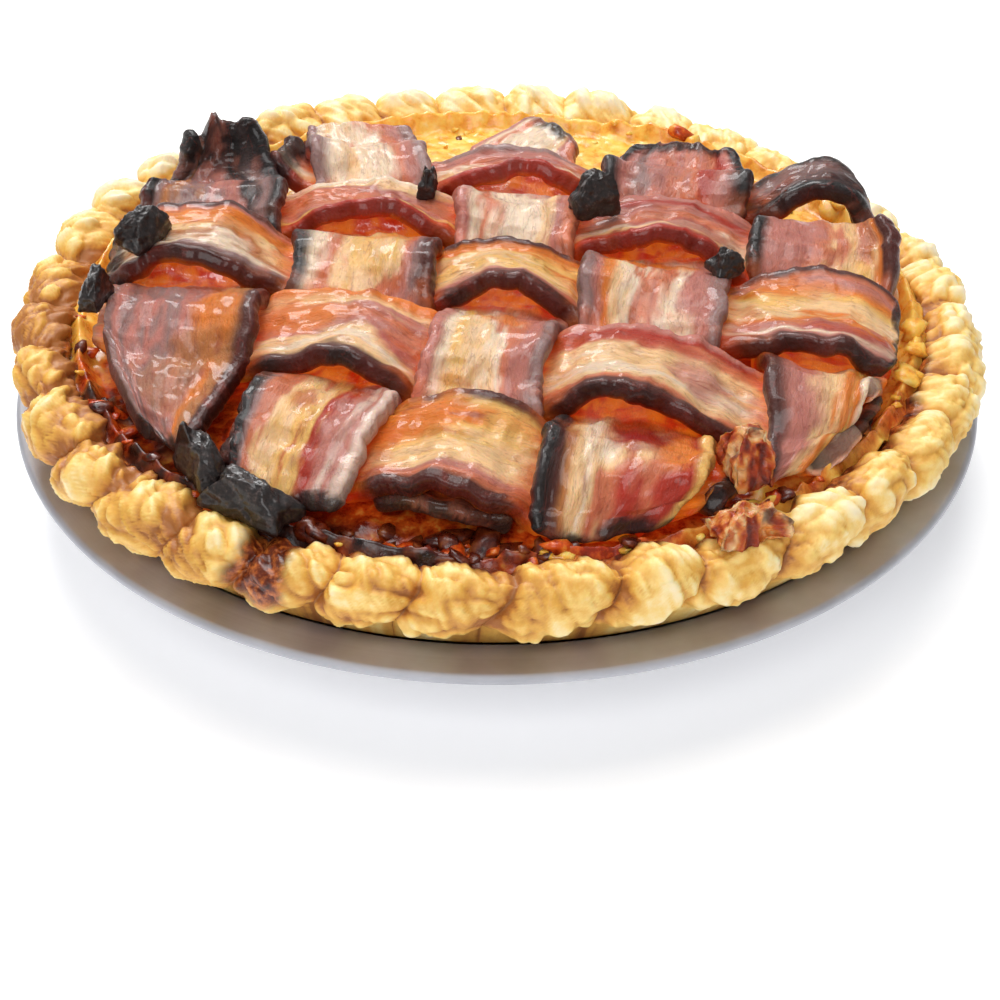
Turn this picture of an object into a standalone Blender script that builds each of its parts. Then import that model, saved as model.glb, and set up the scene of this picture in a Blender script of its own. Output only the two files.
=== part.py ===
"""A whole baked pie in its own metal tin, under a woven lattice of bacon.

Five strips of bacon run from front to back (columns, bacon_v1 to bacon_v5, left to right) and five
from side to side (rows, bacon_h1 to bacon_h5, front to back). They pass over and under each other.
Units are metres, +Z is up, the pie stands on Z = 0 and its front faces -Y.
"""
import math
import random

import bmesh
import bpy
from mathutils import Matrix, Vector, noise

GAP = 0.0004                 # air between two pieces that touch

# The tin
TIN_EDGE_RADIUS = 0.1234     # outside of the flange
TIN_HEIGHT = 0.0250
TIN_SHEET = 0.0008
TIN_MOUTH_RADIUS = 0.1112    # where the wall turns out into the flange
TIN_BASE_RADIUS = 0.0890
TIN_BASE_CURVE = 0.0030      # width of the bend between base and wall
TIN_ROLL_RADIUS = 0.0015     # rolled edge of the flange
TIN_SEGMENTS = 60

# The pastry case
CASE_THICKNESS = 0.0050      # of its base
CASE_CLEARANCE = 0.0016      # between its wall and the tin's
RIM_RADIUS = 0.1162          # middle of the raised rim
RIM_HALF_WIDTH = 0.0081
RIM_MIDDLE = 0.0402          # height of the rim's widest part
RIM_HALF_HEIGHT = 0.0088
RIM_TUCK = 0.0014            # how far the rim's underside tucks in
RIM_SHIFT = 0.0008           # the case sits this much to the right in its tin
FOOT_RADIUS = 0.1120         # outside of the rim where it stands on the flange
RIM_REACH = 0.1230           # no crimp stands out further than this
CASE_MOUTH_RADIUS = 0.1062   # inner edge of the rim, at the filling
RIM_SECTION = (              # degrees round the rim's section from outside to over the top,
    (-78, 0.7),              # and how much of the crimping shows there
    (-38, 0.9),
    (4, 1.0),
    (46, 1.0),
    (92, 1.0),
    (138, 0.8),
    (180, 0.4),
)
CRIMPS = 36
CRIMP_STEPS = (0.0, 0.16, 0.38, 0.62, 0.84)
CRIMP_WIDTH_SPREAD = 0.16
CRIMP_TALLER = (-0.0016, 0.0012)
CRIMP_FURTHER_OUT = (-0.0012, 0.0008)
CREASE_DEPTH = 0.0050        # how far a crease cuts into the rim
CREASE_DROP = 0.0040         # how far the rim's top dips at a crease
CREASE_LIFT = 0.0030         # how far its underside rises there
CRIMP_LEAN = 0.35            # lean of the crimps, in crimps, from foot to top
RIM_ROUGHNESS = 0.0007
RIM_SEED = 7
SHRUNK_AT = 38.0             # degrees: here the rim has shrunk back in baking
SHRUNK_HALF_WIDTH = 56.0
SHRUNK_DROP = 0.0042
SHRUNK_IN = 0.0022
SHRUNK_NARROWER = 0.2
SPREAD_AT = -136.0           # degrees: here it has slumped outwards
SPREAD_HALF_WIDTH = 28.0
SPREAD_OUT = 0.0026

# The filling
DOME_TOP = 0.0545            # middle height of the lattice at the pie's centre
DOME_DROP = 0.0060           # how much lower it is at EDGE_RADIUS
EDGE_RADIUS = 0.1000
FILLING_SEGMENTS = 60
FILLING_RINGS = (0.1030, 0.0960, 0.0840, 0.0640, 0.0420, 0.0200)
STRIP_CLEARANCE = 0.0007     # between the filling and the lowest strips
BRIM_WIDTH = 0.0025          # the filling wells up against the case within this of the strips
BRIM_RISE = 0.0026
LUMP_HEIGHT = 0.0016         # lumps of cheese and meat round the edge
LUMP_SPACING = 0.009

# The bacon: where each strip's middle runs
COLUMN_AT_Y = (-0.080, 0.0, 0.060)
COLUMN_X = (
    (-0.082, -0.077, -0.078),
    (-0.046, -0.030, -0.036),
    (-0.008, 0.004, 0.006),
    (0.025, 0.039, 0.051),
    (0.080, 0.084, 0.095),
)
ROW_AT_X = (-0.080, 0.0, 0.080)
ROW_Y = (
    (-0.054, -0.081, -0.090),
    (-0.022, -0.044, -0.058),
    (0.008, -0.006, -0.028),
    (0.037, 0.022, 0.014),
    (0.062, 0.048, 0.036),
)
STRIP_THICKNESS = 0.0042
HALF_WIDTH = 0.45            # of a strip, where the next strip's middle is 1 away
NARROW_ROWS = {(3, 3): 0.36, (2, 4): 0.40, (3, 5): 0.34, (2, 5): 0.36, (4, 5): 0.38}
NARROW_COLUMNS = {(5, 2): 0.35, (5, 3): 0.40, (2, 5): 0.38}
SPANS = {                    # crossings that a strip has, where it isn't woven right across
    "bacon_v1": (2, 4),
    "bacon_v5": (2, 4),
    "bacon_h1": (2, 4),
    "bacon_h5": (2, 5),
}
WAVE_HEIGHT = 0.0050         # how far a strip rises over, or dips under, the lattice's middle
LATTICE_RADIUS = 0.1040      # the strips' ends are pushed in to stay within this
SQUEEZE_START = 0.0930
EDGE_WOBBLE = 0.0016         # unevenness of the strips' edges
WOBBLE_SPACING = 0.0143
ACROSS = (-1.0, -0.5, 0.0, 0.5, 1.0)

# Lifted edges where a strip is on top: (column, row): (front or left edge, back or right edge)
LIFTS = {
    (2, 1): (0.0026, 0.0020),
    (3, 1): (0.0008, 0.0030),
    (4, 1): (0.0044, 0.0006),
    (1, 2): (0.0000, 0.0046),
    (2, 2): (0.0042, 0.0006),
    (3, 2): (0.0034, 0.0008),
    (4, 2): (0.0050, 0.0010),
    (5, 2): (0.0010, 0.0020),
    (1, 3): (0.0075, 0.0060),
    (2, 3): (0.0034, 0.0024),
    (3, 3): (0.0030, 0.0012),
    (4, 3): (0.0036, 0.0006),
    (5, 3): (0.0036, 0.0030),
    (1, 4): (0.0040, 0.0030),
    (2, 4): (0.0052, 0.0006),
    (3, 4): (0.0030, 0.0006),
    (4, 4): (0.0046, 0.0006),
    (5, 4): (0.0030, 0.0080),
    (2, 5): (0.0050, 0.0030),
    (3, 5): (0.0046, 0.0020),
    (4, 5): (0.0040, 0.0050),
    (5, 5): (0.0085, 0.0085),
}
LIFT_SHARPNESS = 1.4
ARCHED = 0.0050              # where both edges rise more than this, the whole strip arches up

# Loose ends of each strip: first and second end, each (length, rise, width at the tip, turn in plan)
TAILS = {
    "bacon_v1": ((0.034, -6.0, 0.45, 0.0), (0.023, 70.0, 0.60, 8.0)),
    "bacon_v2": ((0.012, -28.0, 0.90, 0.0), (0.014, 16.0, 0.90, 0.0)),
    "bacon_v3": ((0.001, -10.0, 0.95, 0.0), (0.028, 14.0, 0.60, -50.0)),
    "bacon_v4": ((0.012, -30.0, 0.80, 0.0), (0.014, 20.0, 0.70, 0.0)),
    "bacon_v5": ((0.024, -7.0, 0.75, 0.0), (0.0015, -20.0, 0.95, 0.0)),
    "bacon_h1": ((0.003, -4.0, 0.90, 0.0), (0.010, 20.0, 0.50, -30.0)),
    "bacon_h2": ((0.006, -8.0, 0.80, 0.0), (0.006, -10.0, 0.80, 0.0)),
    "bacon_h3": ((0.008, -12.0, 0.80, 0.0), (0.004, -18.0, 0.80, 0.0)),
    "bacon_h4": ((0.006, -10.0, 0.70, 0.0), (0.006, -10.0, 0.80, 0.0)),
    "bacon_h5": ((0.013, 60.0, 0.80, -30.0), (0.018, -20.0, 0.70, -30.0)),
}
TAIL_STEPS = 3
TAIL_BEND = 1.4              # how soon an end reaches its full rise
CURLED_RISE = 35.0           # an end that rises more than this keeps its thickness across its face

# Small pieces that lie on the pie: place, length, width, height, turn in degrees
SCRAPS = (                   # charred
    ((0.0250, 0.0175), 0.0110, 0.0060, 0.0108, 15.0),
    ((0.0565, -0.0085), 0.0065, 0.0060, 0.0055, 30.0),
    ((-0.0890, 0.0020), 0.0120, 0.0070, 0.0085, 60.0),
    ((-0.0180, 0.0330), 0.0060, 0.0040, 0.0070, 80.0),
    ((-0.0662, -0.0785), 0.0150, 0.0066, 0.0120, -60.0),
    ((-0.0545, -0.0925), 0.0200, 0.0080, 0.0085, -35.0),
    ((-0.0990, -0.0160), 0.0110, 0.0050, 0.0080, 80.0),
)
BACON_ENDS = (               # crumpled ends of rashers
    ((0.0560, -0.0820), 0.0150, 0.0095, 0.0115, -80.0),
    ((0.0550, -0.1000), 0.0160, 0.0090, 0.0075, 20.0),
)
SCRAP_TAPER = 0.45
SCRAP_FOOT_TAPER = 0.25
SCRAP_ROUGHNESS = 0.18
REST_SAMPLES = 30            # rays each way that look for what a piece lies on
REST_GAP = 0.0007


def clear_scene():
    for old in list(bpy.data.objects):
        bpy.data.objects.remove(old, do_unlink=True)


def plain_material(name, color, roughness, metallic=0.0):
    material = bpy.data.materials.new(name)
    material.use_nodes = True
    shader = material.node_tree.nodes["Principled BSDF"]
    shader.inputs["Base Color"].default_value = (*color, 1.0)
    shader.inputs["Roughness"].default_value = roughness
    shader.inputs["Metallic"].default_value = metallic
    return material


def finish(bm, name, material, smooth_angle=50.0):
    """Turn a closed mesh into a named object with outward faces."""
    bmesh.ops.triangulate(bm, faces=[f for f in bm.faces if len(f.verts) > 3])
    bmesh.ops.recalc_face_normals(bm, faces=bm.faces)
    mesh = bpy.data.meshes.new(name)
    bm.to_mesh(mesh)
    bm.free()
    mesh.shade_smooth()
    mesh.set_sharp_from_angle(angle=math.radians(smooth_angle))
    mesh.materials.append(material)
    piece = bpy.data.objects.new(name, mesh)
    bpy.context.scene.collection.objects.link(piece)
    return piece


def ring_of(bm, points):
    return [bm.verts.new(p) for p in points]


def join_rings(bm, ring_a, ring_b):
    """Fill the band between two rings; ring_b may have three times as many points."""
    count = len(ring_a)
    if len(ring_b) == count:
        for i in range(count):
            j = (i + 1) % count
            bm.faces.new((ring_a[i], ring_a[j], ring_b[j], ring_b[i]))
        return
    many = len(ring_b)
    for i in range(count):
        near = 3 * i
        bm.faces.new((ring_a[i], ring_b[near], ring_b[near - 1]))
        bm.faces.new((ring_a[i], ring_b[(near + 1) % many], ring_b[near]))
        bm.faces.new((ring_a[i], ring_a[(i + 1) % count], ring_b[(near + 2) % many], ring_b[near + 1]))


def polar(radius, angle, z):
    return Vector((radius * math.cos(angle), radius * math.sin(angle), z))


def angle_of(vert):
    return math.atan2(vert.co.y, vert.co.x)


def level_ring(bm, radius, z, count):
    return ring_of(bm, [polar(radius, 2 * math.pi * i / count, z) for i in range(count)])


# ---------------------------------------------------------------- the tin

def make_tin():
    """Pressed sheet: a flat base, a sloping wall and a flange with a rolled edge."""
    roll_x = TIN_EDGE_RADIUS - TIN_ROLL_RADIUS
    roll_z = TIN_HEIGHT - TIN_ROLL_RADIUS
    flat = TIN_BASE_RADIUS - TIN_BASE_CURVE
    bend = 0.7 * TIN_BASE_CURVE
    under = [(flat, 0.0), (TIN_BASE_RADIUS, bend), (TIN_MOUTH_RADIUS, TIN_HEIGHT - TIN_SHEET)]
    roll = [(roll_x + TIN_ROLL_RADIUS * math.sin(math.radians(a)),
             roll_z - TIN_ROLL_RADIUS * math.cos(math.radians(a))) for a in (-30, 30, 90, 135, 180)]
    inner = [(TIN_MOUTH_RADIUS + TIN_SHEET, TIN_HEIGHT), (TIN_BASE_RADIUS + TIN_SHEET, bend + TIN_SHEET),
             (flat, TIN_SHEET)]
    bm = bmesh.new()
    rings = [level_ring(bm, radius, z, TIN_SEGMENTS) for radius, z in under + roll + inner]
    for ring_a, ring_b in zip(rings, rings[1:]):
        join_rings(bm, ring_a, ring_b)
    bm.faces.new(rings[0])
    bm.faces.new(rings[-1])
    return finish(bm, "tin", plain_material("tin plate", (0.42, 0.41, 0.40), 0.38, 1.0), 35.0)


# ---------------------------------------------------------------- the pastry case

def crimp_layout():
    """Where each crimp starts, how tall it stands and how far out it leans."""
    rng = random.Random(RIM_SEED)
    widths = [1.0 + rng.uniform(-CRIMP_WIDTH_SPREAD, CRIMP_WIDTH_SPREAD) for _ in range(CRIMPS)]
    total = sum(widths)
    crimps, at = [], 0.0
    for width in widths:
        crimps.append((2 * math.pi * at / total, 2 * math.pi * width / total,
                       rng.uniform(*CRIMP_TALLER), rng.uniform(*CRIMP_FURTHER_OUT)))
        at += width
    return crimps


def share_near(angle, middle, half_width):
    """1 at an angle round the pie (in degrees), fading to 0 half_width away from it."""
    turned = angle - math.radians(middle)
    off = math.degrees(abs(math.atan2(math.sin(turned), math.cos(turned))))
    return math.cos(math.pi / 2 * min(1.0, off / half_width))


def rim_point(turn, share, crimp, step):
    """A point of the rim's skin: turn goes round its section from the underside over the top."""
    start, width, tall, out = crimp
    height = (math.sin(turn) + 1) / 2
    angle = start + width * (step + CRIMP_LEAN * (height - 0.5))
    crest = math.sin(math.pi * step) ** 0.6
    shrunk = share_near(angle, SHRUNK_AT, SHRUNK_HALF_WIDTH)
    spread = SPREAD_OUT * share_near(angle, SPREAD_AT, SPREAD_HALF_WIDTH)
    outward = max(0.0, math.cos(turn))
    radius = RIM_RADIUS - SHRUNK_IN * shrunk
    radius += RIM_HALF_WIDTH * (1 - SHRUNK_NARROWER * shrunk) * math.cos(turn)
    radius += (out + spread - CREASE_DEPTH * (1 - crest) * share) * outward
    radius -= RIM_TUCK * max(0.0, -math.sin(turn))
    radius += RIM_ROUGHNESS * share * noise.noise(Vector((radius * 160, angle * 9, height * 4)))
    z = RIM_MIDDLE + RIM_HALF_HEIGHT * math.sin(turn)
    z += height * (tall - SHRUNK_DROP * shrunk - CREASE_DROP * (1 - crest) * share)
    z += CREASE_LIFT * (1 - crest) * (1 - height)
    if turn == math.pi:
        radius = CASE_MOUTH_RADIUS
    return polar(min(radius, RIM_REACH + spread), angle, z)


def wall_radius(z):
    """Inside of the pastry's wall at a height within the tin."""
    slope = (TIN_MOUTH_RADIUS - TIN_BASE_RADIUS) / (TIN_HEIGHT - TIN_BASE_CURVE)
    return CASE_MOUTH_RADIUS - GAP - (TIN_HEIGHT - z) * slope


def make_case():
    """One piece of pastry: base, wall, and a thick crimped rim that stands on the tin's flange."""
    floor = TIN_SHEET + GAP
    foot = TIN_HEIGHT + GAP
    columns = [(crimp, step) for crimp in crimp_layout() for step in CRIMP_STEPS]
    shift = Vector((RIM_SHIFT, 0.0, 0.0))
    bm = bmesh.new()
    rings = []
    for degrees, share in RIM_SECTION:
        turn = math.radians(degrees)
        points = [rim_point(turn, share, *column) for column in columns]
        rings.append(ring_of(bm, [point + shift * math.cos(turn / 2) for point in points]))
    rings.insert(0, ring_of(bm, [polar(FOOT_RADIUS, angle_of(vert), foot) for vert in rings[0]]))
    for ring_a, ring_b in zip(rings, rings[1:]):
        join_rings(bm, ring_a, ring_b)

    def hidden(radius, z):
        """A plain ring that lines up with every third point of the rim."""
        return ring_of(bm, [polar(radius, angle_of(vert), z) for vert in rings[0][::3]])

    outer = hidden(TIN_MOUTH_RADIUS - CASE_CLEARANCE, foot)
    base = hidden(TIN_BASE_RADIUS - TIN_BASE_CURVE - GAP, floor)
    mouth = hidden(CASE_MOUTH_RADIUS - GAP, TIN_HEIGHT)
    inside = hidden(wall_radius(floor + CASE_THICKNESS), floor + CASE_THICKNESS)
    join_rings(bm, outer, rings[0])
    join_rings(bm, base, outer)
    join_rings(bm, mouth, rings[-1])
    join_rings(bm, inside, mouth)
    bm.faces.new(base)
    bm.faces.new(inside)
    return finish(bm, "crust", plain_material("baked pastry", (0.72, 0.47, 0.20), 0.62), 60.0)


# ---------------------------------------------------------------- the lattice's shape

def lattice_middle(x, y):
    """Height of the lattice's middle surface: a low dome."""
    return DOME_TOP - DOME_DROP * (x * x + y * y) / EDGE_RADIUS ** 2


def through(values, places, at):
    """A parabola through three values."""
    (a, b, c), (p, q, r) = values, places
    return (a * (at - q) * (at - r) / ((p - q) * (p - r))
            + b * (at - p) * (at - r) / ((q - p) * (q - r))
            + c * (at - p) * (at - q) / ((r - p) * (r - q)))


def between(table, places, number, at):
    """The line numbered 1 to 5 (fractions lie between two), at a place along it."""
    first = min(max(int(math.floor(number)), 1), len(table) - 1)
    share = number - first
    at = min(max(at, 1.25 * places[0]), 1.5 * places[2])
    return ((1 - share) * through(table[first - 1], places, at)
            + share * through(table[first], places, at))


def squeeze(x, y):
    """Push a place near the rim inwards, so that all stays within the lattice's circle."""
    radius = math.hypot(x, y)
    if radius <= SQUEEZE_START:
        return x, y
    room = LATTICE_RADIUS - SQUEEZE_START
    pushed = LATTICE_RADIUS - room * math.exp(-(radius - SQUEEZE_START) / room)
    return x * pushed / radius, y * pushed / radius


def wobble(x, y):
    """A slow uneven shift in plan, the same for every strip that passes here."""
    at = Vector((x / WOBBLE_SPACING, y / WOBBLE_SPACING, 0.0))
    return (x + EDGE_WOBBLE * noise.noise(at), y + EDGE_WOBBLE * noise.noise(at + Vector((9, 4, 2))))


def open_place(column, row):
    """Plan place of a lattice coordinate, before the rim pushes it in."""
    x, y = 0.0, 0.0
    for _ in range(8):
        x = between(COLUMN_X, COLUMN_AT_Y, column, y)
        y = between(ROW_Y, ROW_AT_X, row, x)
    return wobble(x, y)


def row_is_over(column, row):
    return (column + row) % 2 == 0


def half_of(is_row, column, row):
    """Half width of the row or of the column where the two cross."""
    return (NARROW_ROWS if is_row else NARROW_COLUMNS).get((column, row), HALF_WIDTH)


def weave_height(column, row, is_row):
    """Height of a strip's middle over the dome, for a lattice coordinate."""
    near_column = min(max(round(column), 1), 5)
    near_row = min(max(round(row), 1), 5)
    side = 1.0 if row_is_over(near_column, near_row) else -1.0
    off_column = min(0.5, abs(column - near_column))
    off_row = min(0.5, abs(row - near_row))
    wave_column = math.cos(math.pi * off_column)
    wave_row = math.cos(math.pi * off_row)
    apart = WAVE_HEIGHT * (wave_column + wave_row) / 2
    needed = (STRIP_THICKNESS + GAP) / 2
    off_along = off_column if is_row else off_row
    reach = half_of(not is_row, near_column, near_row)
    extra = max(0.0, needed - apart) if off_along <= reach + 1e-6 else 0.0
    if is_row:
        return side * (WAVE_HEIGHT * wave_column + extra)
    return -side * (WAVE_HEIGHT * wave_row + extra)


def edge_lift(column, row, is_row, along, across):
    """How much higher a strip's edge stands where it is on top; along and across run -1 to 1."""
    if row_is_over(column, row) != is_row:
        return 0.0
    first, second = LIFTS[(column, row)]
    window = math.cos(math.pi / 2 * along)
    share_first = max(0.0, -across) ** LIFT_SHARPNESS
    share_second = max(0.0, across) ** LIFT_SHARPNESS
    level = min(first, second) if min(first, second) > ARCHED else 0.0
    return window * max(level, first * share_first, second * share_second)


def strip_section(number, is_row, crossing, step, across):
    """A strip's middle surface near a crossing; step runs along it and across runs over it, -1 to 1."""
    cell = (crossing, number) if is_row else (number, crossing)
    along = crossing + half_of(not is_row, *cell) * step
    other = number + half_of(is_row, *cell) * across
    column, row = (along, other) if is_row else (other, along)
    x, y = open_place(column, row)
    z = weave_height(column, row, is_row) + edge_lift(*cell, is_row, step, across)
    return Vector((x, y, z))


def settle(point):
    """From open plan place and height over the dome to the real place."""
    x, y = squeeze(point.x, point.y)
    return Vector((x, y, lattice_middle(x, y) + point.z))


def tail_rows(rows, tail):
    """Stations past the end of a strip, which droops or curls up and may turn aside."""
    length, rise, tip, turn = tail
    last, before = rows[-1], rows[-2]
    middle = len(ACROSS) // 2
    heading = last[middle] - before[middle]
    heading.z = 0.0
    heading.normalize()
    added = []
    mid = last[middle].copy()
    sides = [p - mid for p in last]
    for step in range(1, TAIL_STEPS + 1):
        share = step / TAIL_STEPS
        angle = math.radians(rise) * min(1.0, TAIL_BEND * share)
        move = length / TAIL_STEPS
        bend = Matrix.Rotation(math.radians(turn) * share, 3, "Z")
        mid = mid + bend @ heading * move * math.cos(angle) + Vector((0, 0, move * math.sin(angle)))
        narrow = 1 + (tip - 1) * share
        added.append([mid + bend @ side * narrow for side in sides])
    return added


def face_normal(rows, index, j):
    """The way a curled end's upper face looks at one of its points."""
    ahead = rows[min(index + 1, len(rows) - 1)][j]
    behind = rows[max(index - 1, 0)][j]
    side = rows[index][min(j + 1, len(ACROSS) - 1)] - rows[index][max(j - 1, 0)]
    normal = (ahead - behind).cross(side)
    if normal.z < 0:
        normal.negate()
    return normal.normalized()


def make_strip(name, number, is_row, material):
    first, last = SPANS.get(name, (1, 5))
    rows = [[strip_section(number, is_row, crossing, step, across) for across in ACROSS]
            for crossing in range(first, last + 1) for step in ACROSS]
    first_tail, second_tail = TAILS[name]
    front = tail_rows(rows[::-1], first_tail)
    back = tail_rows(rows, second_tail)
    rows = [[settle(p) for p in row] for row in front[::-1] + rows + back]
    curled = [index for index in range(len(rows))
              if (index < TAIL_STEPS - 1 and abs(first_tail[1]) > CURLED_RISE)
              or (index > len(rows) - TAIL_STEPS and abs(second_tail[1]) > CURLED_RISE)]
    bm = bmesh.new()
    tops, bottoms = [], []
    for index, row in enumerate(rows):
        half = [Vector((0, 0, STRIP_THICKNESS / 2))] * len(row)
        if index in curled:
            half = [face_normal(rows, index, j) * STRIP_THICKNESS / 2 for j in range(len(row))]
        tops.append(ring_of(bm, [p + h for p, h in zip(row, half)]))
        bottoms.append(ring_of(bm, [p - h for p, h in zip(row, half)]))

    def skin(sheet):
        """Both strips of a crossing split their faces along the same diagonal."""
        for a, b in zip(sheet, sheet[1:]):
            for j in range(len(ACROSS) - 1):
                corners = (a[j], b[j], b[j + 1], a[j + 1])
                bm.faces.new((corners[0], corners[1], corners[2]))
                bm.faces.new((corners[0], corners[2], corners[3]))

    skin(tops)
    skin(bottoms)
    for a, b, c, d in zip(tops, tops[1:], bottoms, bottoms[1:]):
        for edge in (0, -1):
            bm.faces.new((a[edge], b[edge], d[edge], c[edge]))
    for end in (0, -1):
        for j in range(len(ACROSS) - 1):
            bm.faces.new((tops[end][j], tops[end][j + 1], bottoms[end][j + 1], bottoms[end][j]))
    return finish(bm, name, material, 70.0)


# ---------------------------------------------------------------- the filling

def filling_top(x, y):
    """Just under the lowest strips; it wells up, with lumps, in the ring next to the case."""
    z = lattice_middle(x, y) - WAVE_HEIGHT - STRIP_THICKNESS / 2 - STRIP_CLEARANCE
    past_strips = (math.hypot(x, y) - LATTICE_RADIUS) / BRIM_WIDTH + 0.4
    bare = min(1.0, max(0.0, past_strips))
    lump = 0.5 + 0.5 * noise.noise(Vector((x / LUMP_SPACING, y / LUMP_SPACING, 3.0)))
    return z + bare * (BRIM_RISE + LUMP_HEIGHT * lump)


def make_filling():
    """The filling runs through the pie, from the case's floor to the lattice."""
    floor = TIN_SHEET + GAP + CASE_THICKNESS + GAP
    edge = CASE_MOUTH_RADIUS - 3 * GAP
    bm = bmesh.new()
    low = level_ring(bm, wall_radius(floor) - 3 * GAP, floor, FILLING_SEGMENTS)
    previous = level_ring(bm, edge, TIN_HEIGHT, FILLING_SEGMENTS)
    bm.faces.new(low)
    join_rings(bm, low, previous)
    for radius in (edge,) + FILLING_RINGS:
        ring = level_ring(bm, radius, 0.0, FILLING_SEGMENTS)
        for vert in ring:
            vert.co.z = filling_top(vert.co.x, vert.co.y)
        join_rings(bm, previous, ring)
        previous = ring
    middle = bm.verts.new((0.0, 0.0, filling_top(0.0, 0.0)))
    for vert, following in zip(previous, previous[1:] + previous[:1]):
        bm.faces.new((vert, following, middle))
    return finish(bm, "filling", plain_material("beef and cheese filling", (0.42, 0.13, 0.03), 0.35), 60.0)


# ---------------------------------------------------------------- scraps and crumpled ends

def make_scrap(name, place, length, width, height, turn, seed, material):
    """An uneven chip of bacon: a block that narrows towards its top and a little to its foot."""
    rng = random.Random(seed)
    bm = bmesh.new()
    bmesh.ops.create_cube(bm, size=1.0)
    bmesh.ops.subdivide_edges(bm, edges=bm.edges, cuts=1, use_grid_fill=True)
    for vert in bm.verts:
        taper = 1.0 - (SCRAP_TAPER if vert.co.z > 0 else SCRAP_FOOT_TAPER) * 2 * abs(vert.co.z)
        uneven = [1 + rng.uniform(-SCRAP_ROUGHNESS, SCRAP_ROUGHNESS) for _ in range(3)]
        vert.co = Vector((vert.co.x * taper * uneven[0] * length,
                          vert.co.y * taper * uneven[1] * width,
                          (vert.co.z + 0.5) * uneven[2] * height))
    spot = Matrix.Translation((*place, 0.0)) @ Matrix.Rotation(math.radians(turn), 4, "Z")
    bmesh.ops.transform(bm, matrix=spot, verts=bm.verts)
    return finish(bm, name, material, 30.0)


def samples(values):
    """Evenly spaced values over the range of some values."""
    low, high = min(values), max(values)
    return [low + (high - low) * i / REST_SAMPLES for i in range(REST_SAMPLES + 1)]


def rest_on(piece, supports):
    """Lower a small piece on to what is under it, until it touches somewhere."""
    bpy.context.view_layer.update()
    verts = piece.data.vertices
    rise = 0.0
    for x in samples([vert.co.x for vert in verts]):
        for y in samples([vert.co.y for vert in verts]):
            over, underside, _, _ = piece.ray_cast(Vector((x, y, -DOME_TOP)), Vector((0, 0, 1)))
            if not over:
                continue
            for support in supports:
                hit, spot, _, _ = support.ray_cast(Vector((x, y, 2 * DOME_TOP)), Vector((0, 0, -1)))
                if hit:
                    rise = max(rise, spot.z + REST_GAP - underside.z)
    for vert in verts:
        vert.co.z += rise
    piece.data.update()


clear_scene()
make_tin()
case = make_case()
filling = make_filling()
meat = plain_material("baked bacon", (0.45, 0.14, 0.10), 0.35)
strips = []
for strip_number in range(1, 6):
    strips.append(make_strip(f"bacon_v{strip_number}", strip_number, False, meat))
for strip_number in range(1, 6):
    strips.append(make_strip(f"bacon_h{strip_number}", strip_number, True, meat))
char = plain_material("charred bacon", (0.03, 0.025, 0.025), 0.6)
supports = strips + [case, filling]
for label, material, pieces in (("charred_scrap", char, SCRAPS), ("bacon_end", meat, BACON_ENDS)):
    for number, (place, length, width, height, turn) in enumerate(pieces, start=1):
        piece = make_scrap(f"{label}_{number}", place, length, width, height, turn, number, material)
        rest_on(piece, supports)
        supports.append(piece)
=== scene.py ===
"""A whole baked pie in its own tin, under a woven lattice of bacon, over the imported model."""
import math
import random

import bpy
import numpy as np
from mathutils import Euler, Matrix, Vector, noise
from mathutils.bvhtree import BVHTree


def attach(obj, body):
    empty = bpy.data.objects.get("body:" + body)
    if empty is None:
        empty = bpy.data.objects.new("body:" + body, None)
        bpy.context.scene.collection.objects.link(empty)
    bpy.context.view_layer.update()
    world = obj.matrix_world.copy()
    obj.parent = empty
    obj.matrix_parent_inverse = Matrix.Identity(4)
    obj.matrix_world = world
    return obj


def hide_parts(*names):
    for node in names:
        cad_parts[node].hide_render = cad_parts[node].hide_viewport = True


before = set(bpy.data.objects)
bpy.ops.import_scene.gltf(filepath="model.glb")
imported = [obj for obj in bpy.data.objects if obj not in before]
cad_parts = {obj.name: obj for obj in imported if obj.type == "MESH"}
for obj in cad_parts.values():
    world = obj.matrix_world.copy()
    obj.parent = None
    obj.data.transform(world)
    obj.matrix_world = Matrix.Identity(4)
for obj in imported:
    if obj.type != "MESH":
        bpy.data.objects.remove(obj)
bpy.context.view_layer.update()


# ---------------------------------------------------------------- the tin
# A round baking tin pressed from one sheet of tin plate: a flat base, a sloping wall and a wide
# flange with a rolled edge. The pastry hides all but the flange, which mirrors the crust softly.

TIN_SIDES = 360
TIN_PROFILE = (                   # radius and height: up the outside, over the edge and down inside
    (0.0860, 0.0000), (0.0876, 0.0004), (0.0886, 0.0013), (0.0890, 0.0021), (0.1112, 0.0236),
    (0.1120, 0.0240), (0.1196, 0.0240), (0.1206, 0.0237), (0.1212, 0.0226), (0.1219, 0.0221),
    (0.1226, 0.0223), (0.1232, 0.0229), (0.1234, 0.0236), (0.1231, 0.0243), (0.1225, 0.0249),
    (0.1218, 0.0250), (0.1206, 0.0249), (0.1160, 0.0249), (0.1122, 0.0248), (0.1114, 0.0242),
    (0.0897, 0.0030), (0.0886, 0.0017), (0.0870, 0.0009), (0.0860, 0.0008),
)
SMEAR_SCALE = 45.0                # greasy smears, 22 mm apart
RING_SCALE, RING_DEPTH = 1400.0, 0.0004   # rings of the pressing, 0.7 mm apart


def linear(code):
    """An sRGB colour such as "C8A070", as linear red, green, blue and alpha."""
    parts = [int(code[at:at + 2], 16) / 255 for at in (0, 2, 4)]
    return (*[p / 12.92 if p <= 0.04045 else ((p + 0.055) / 1.055) ** 2.4 for p in parts], 1.0)


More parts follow.
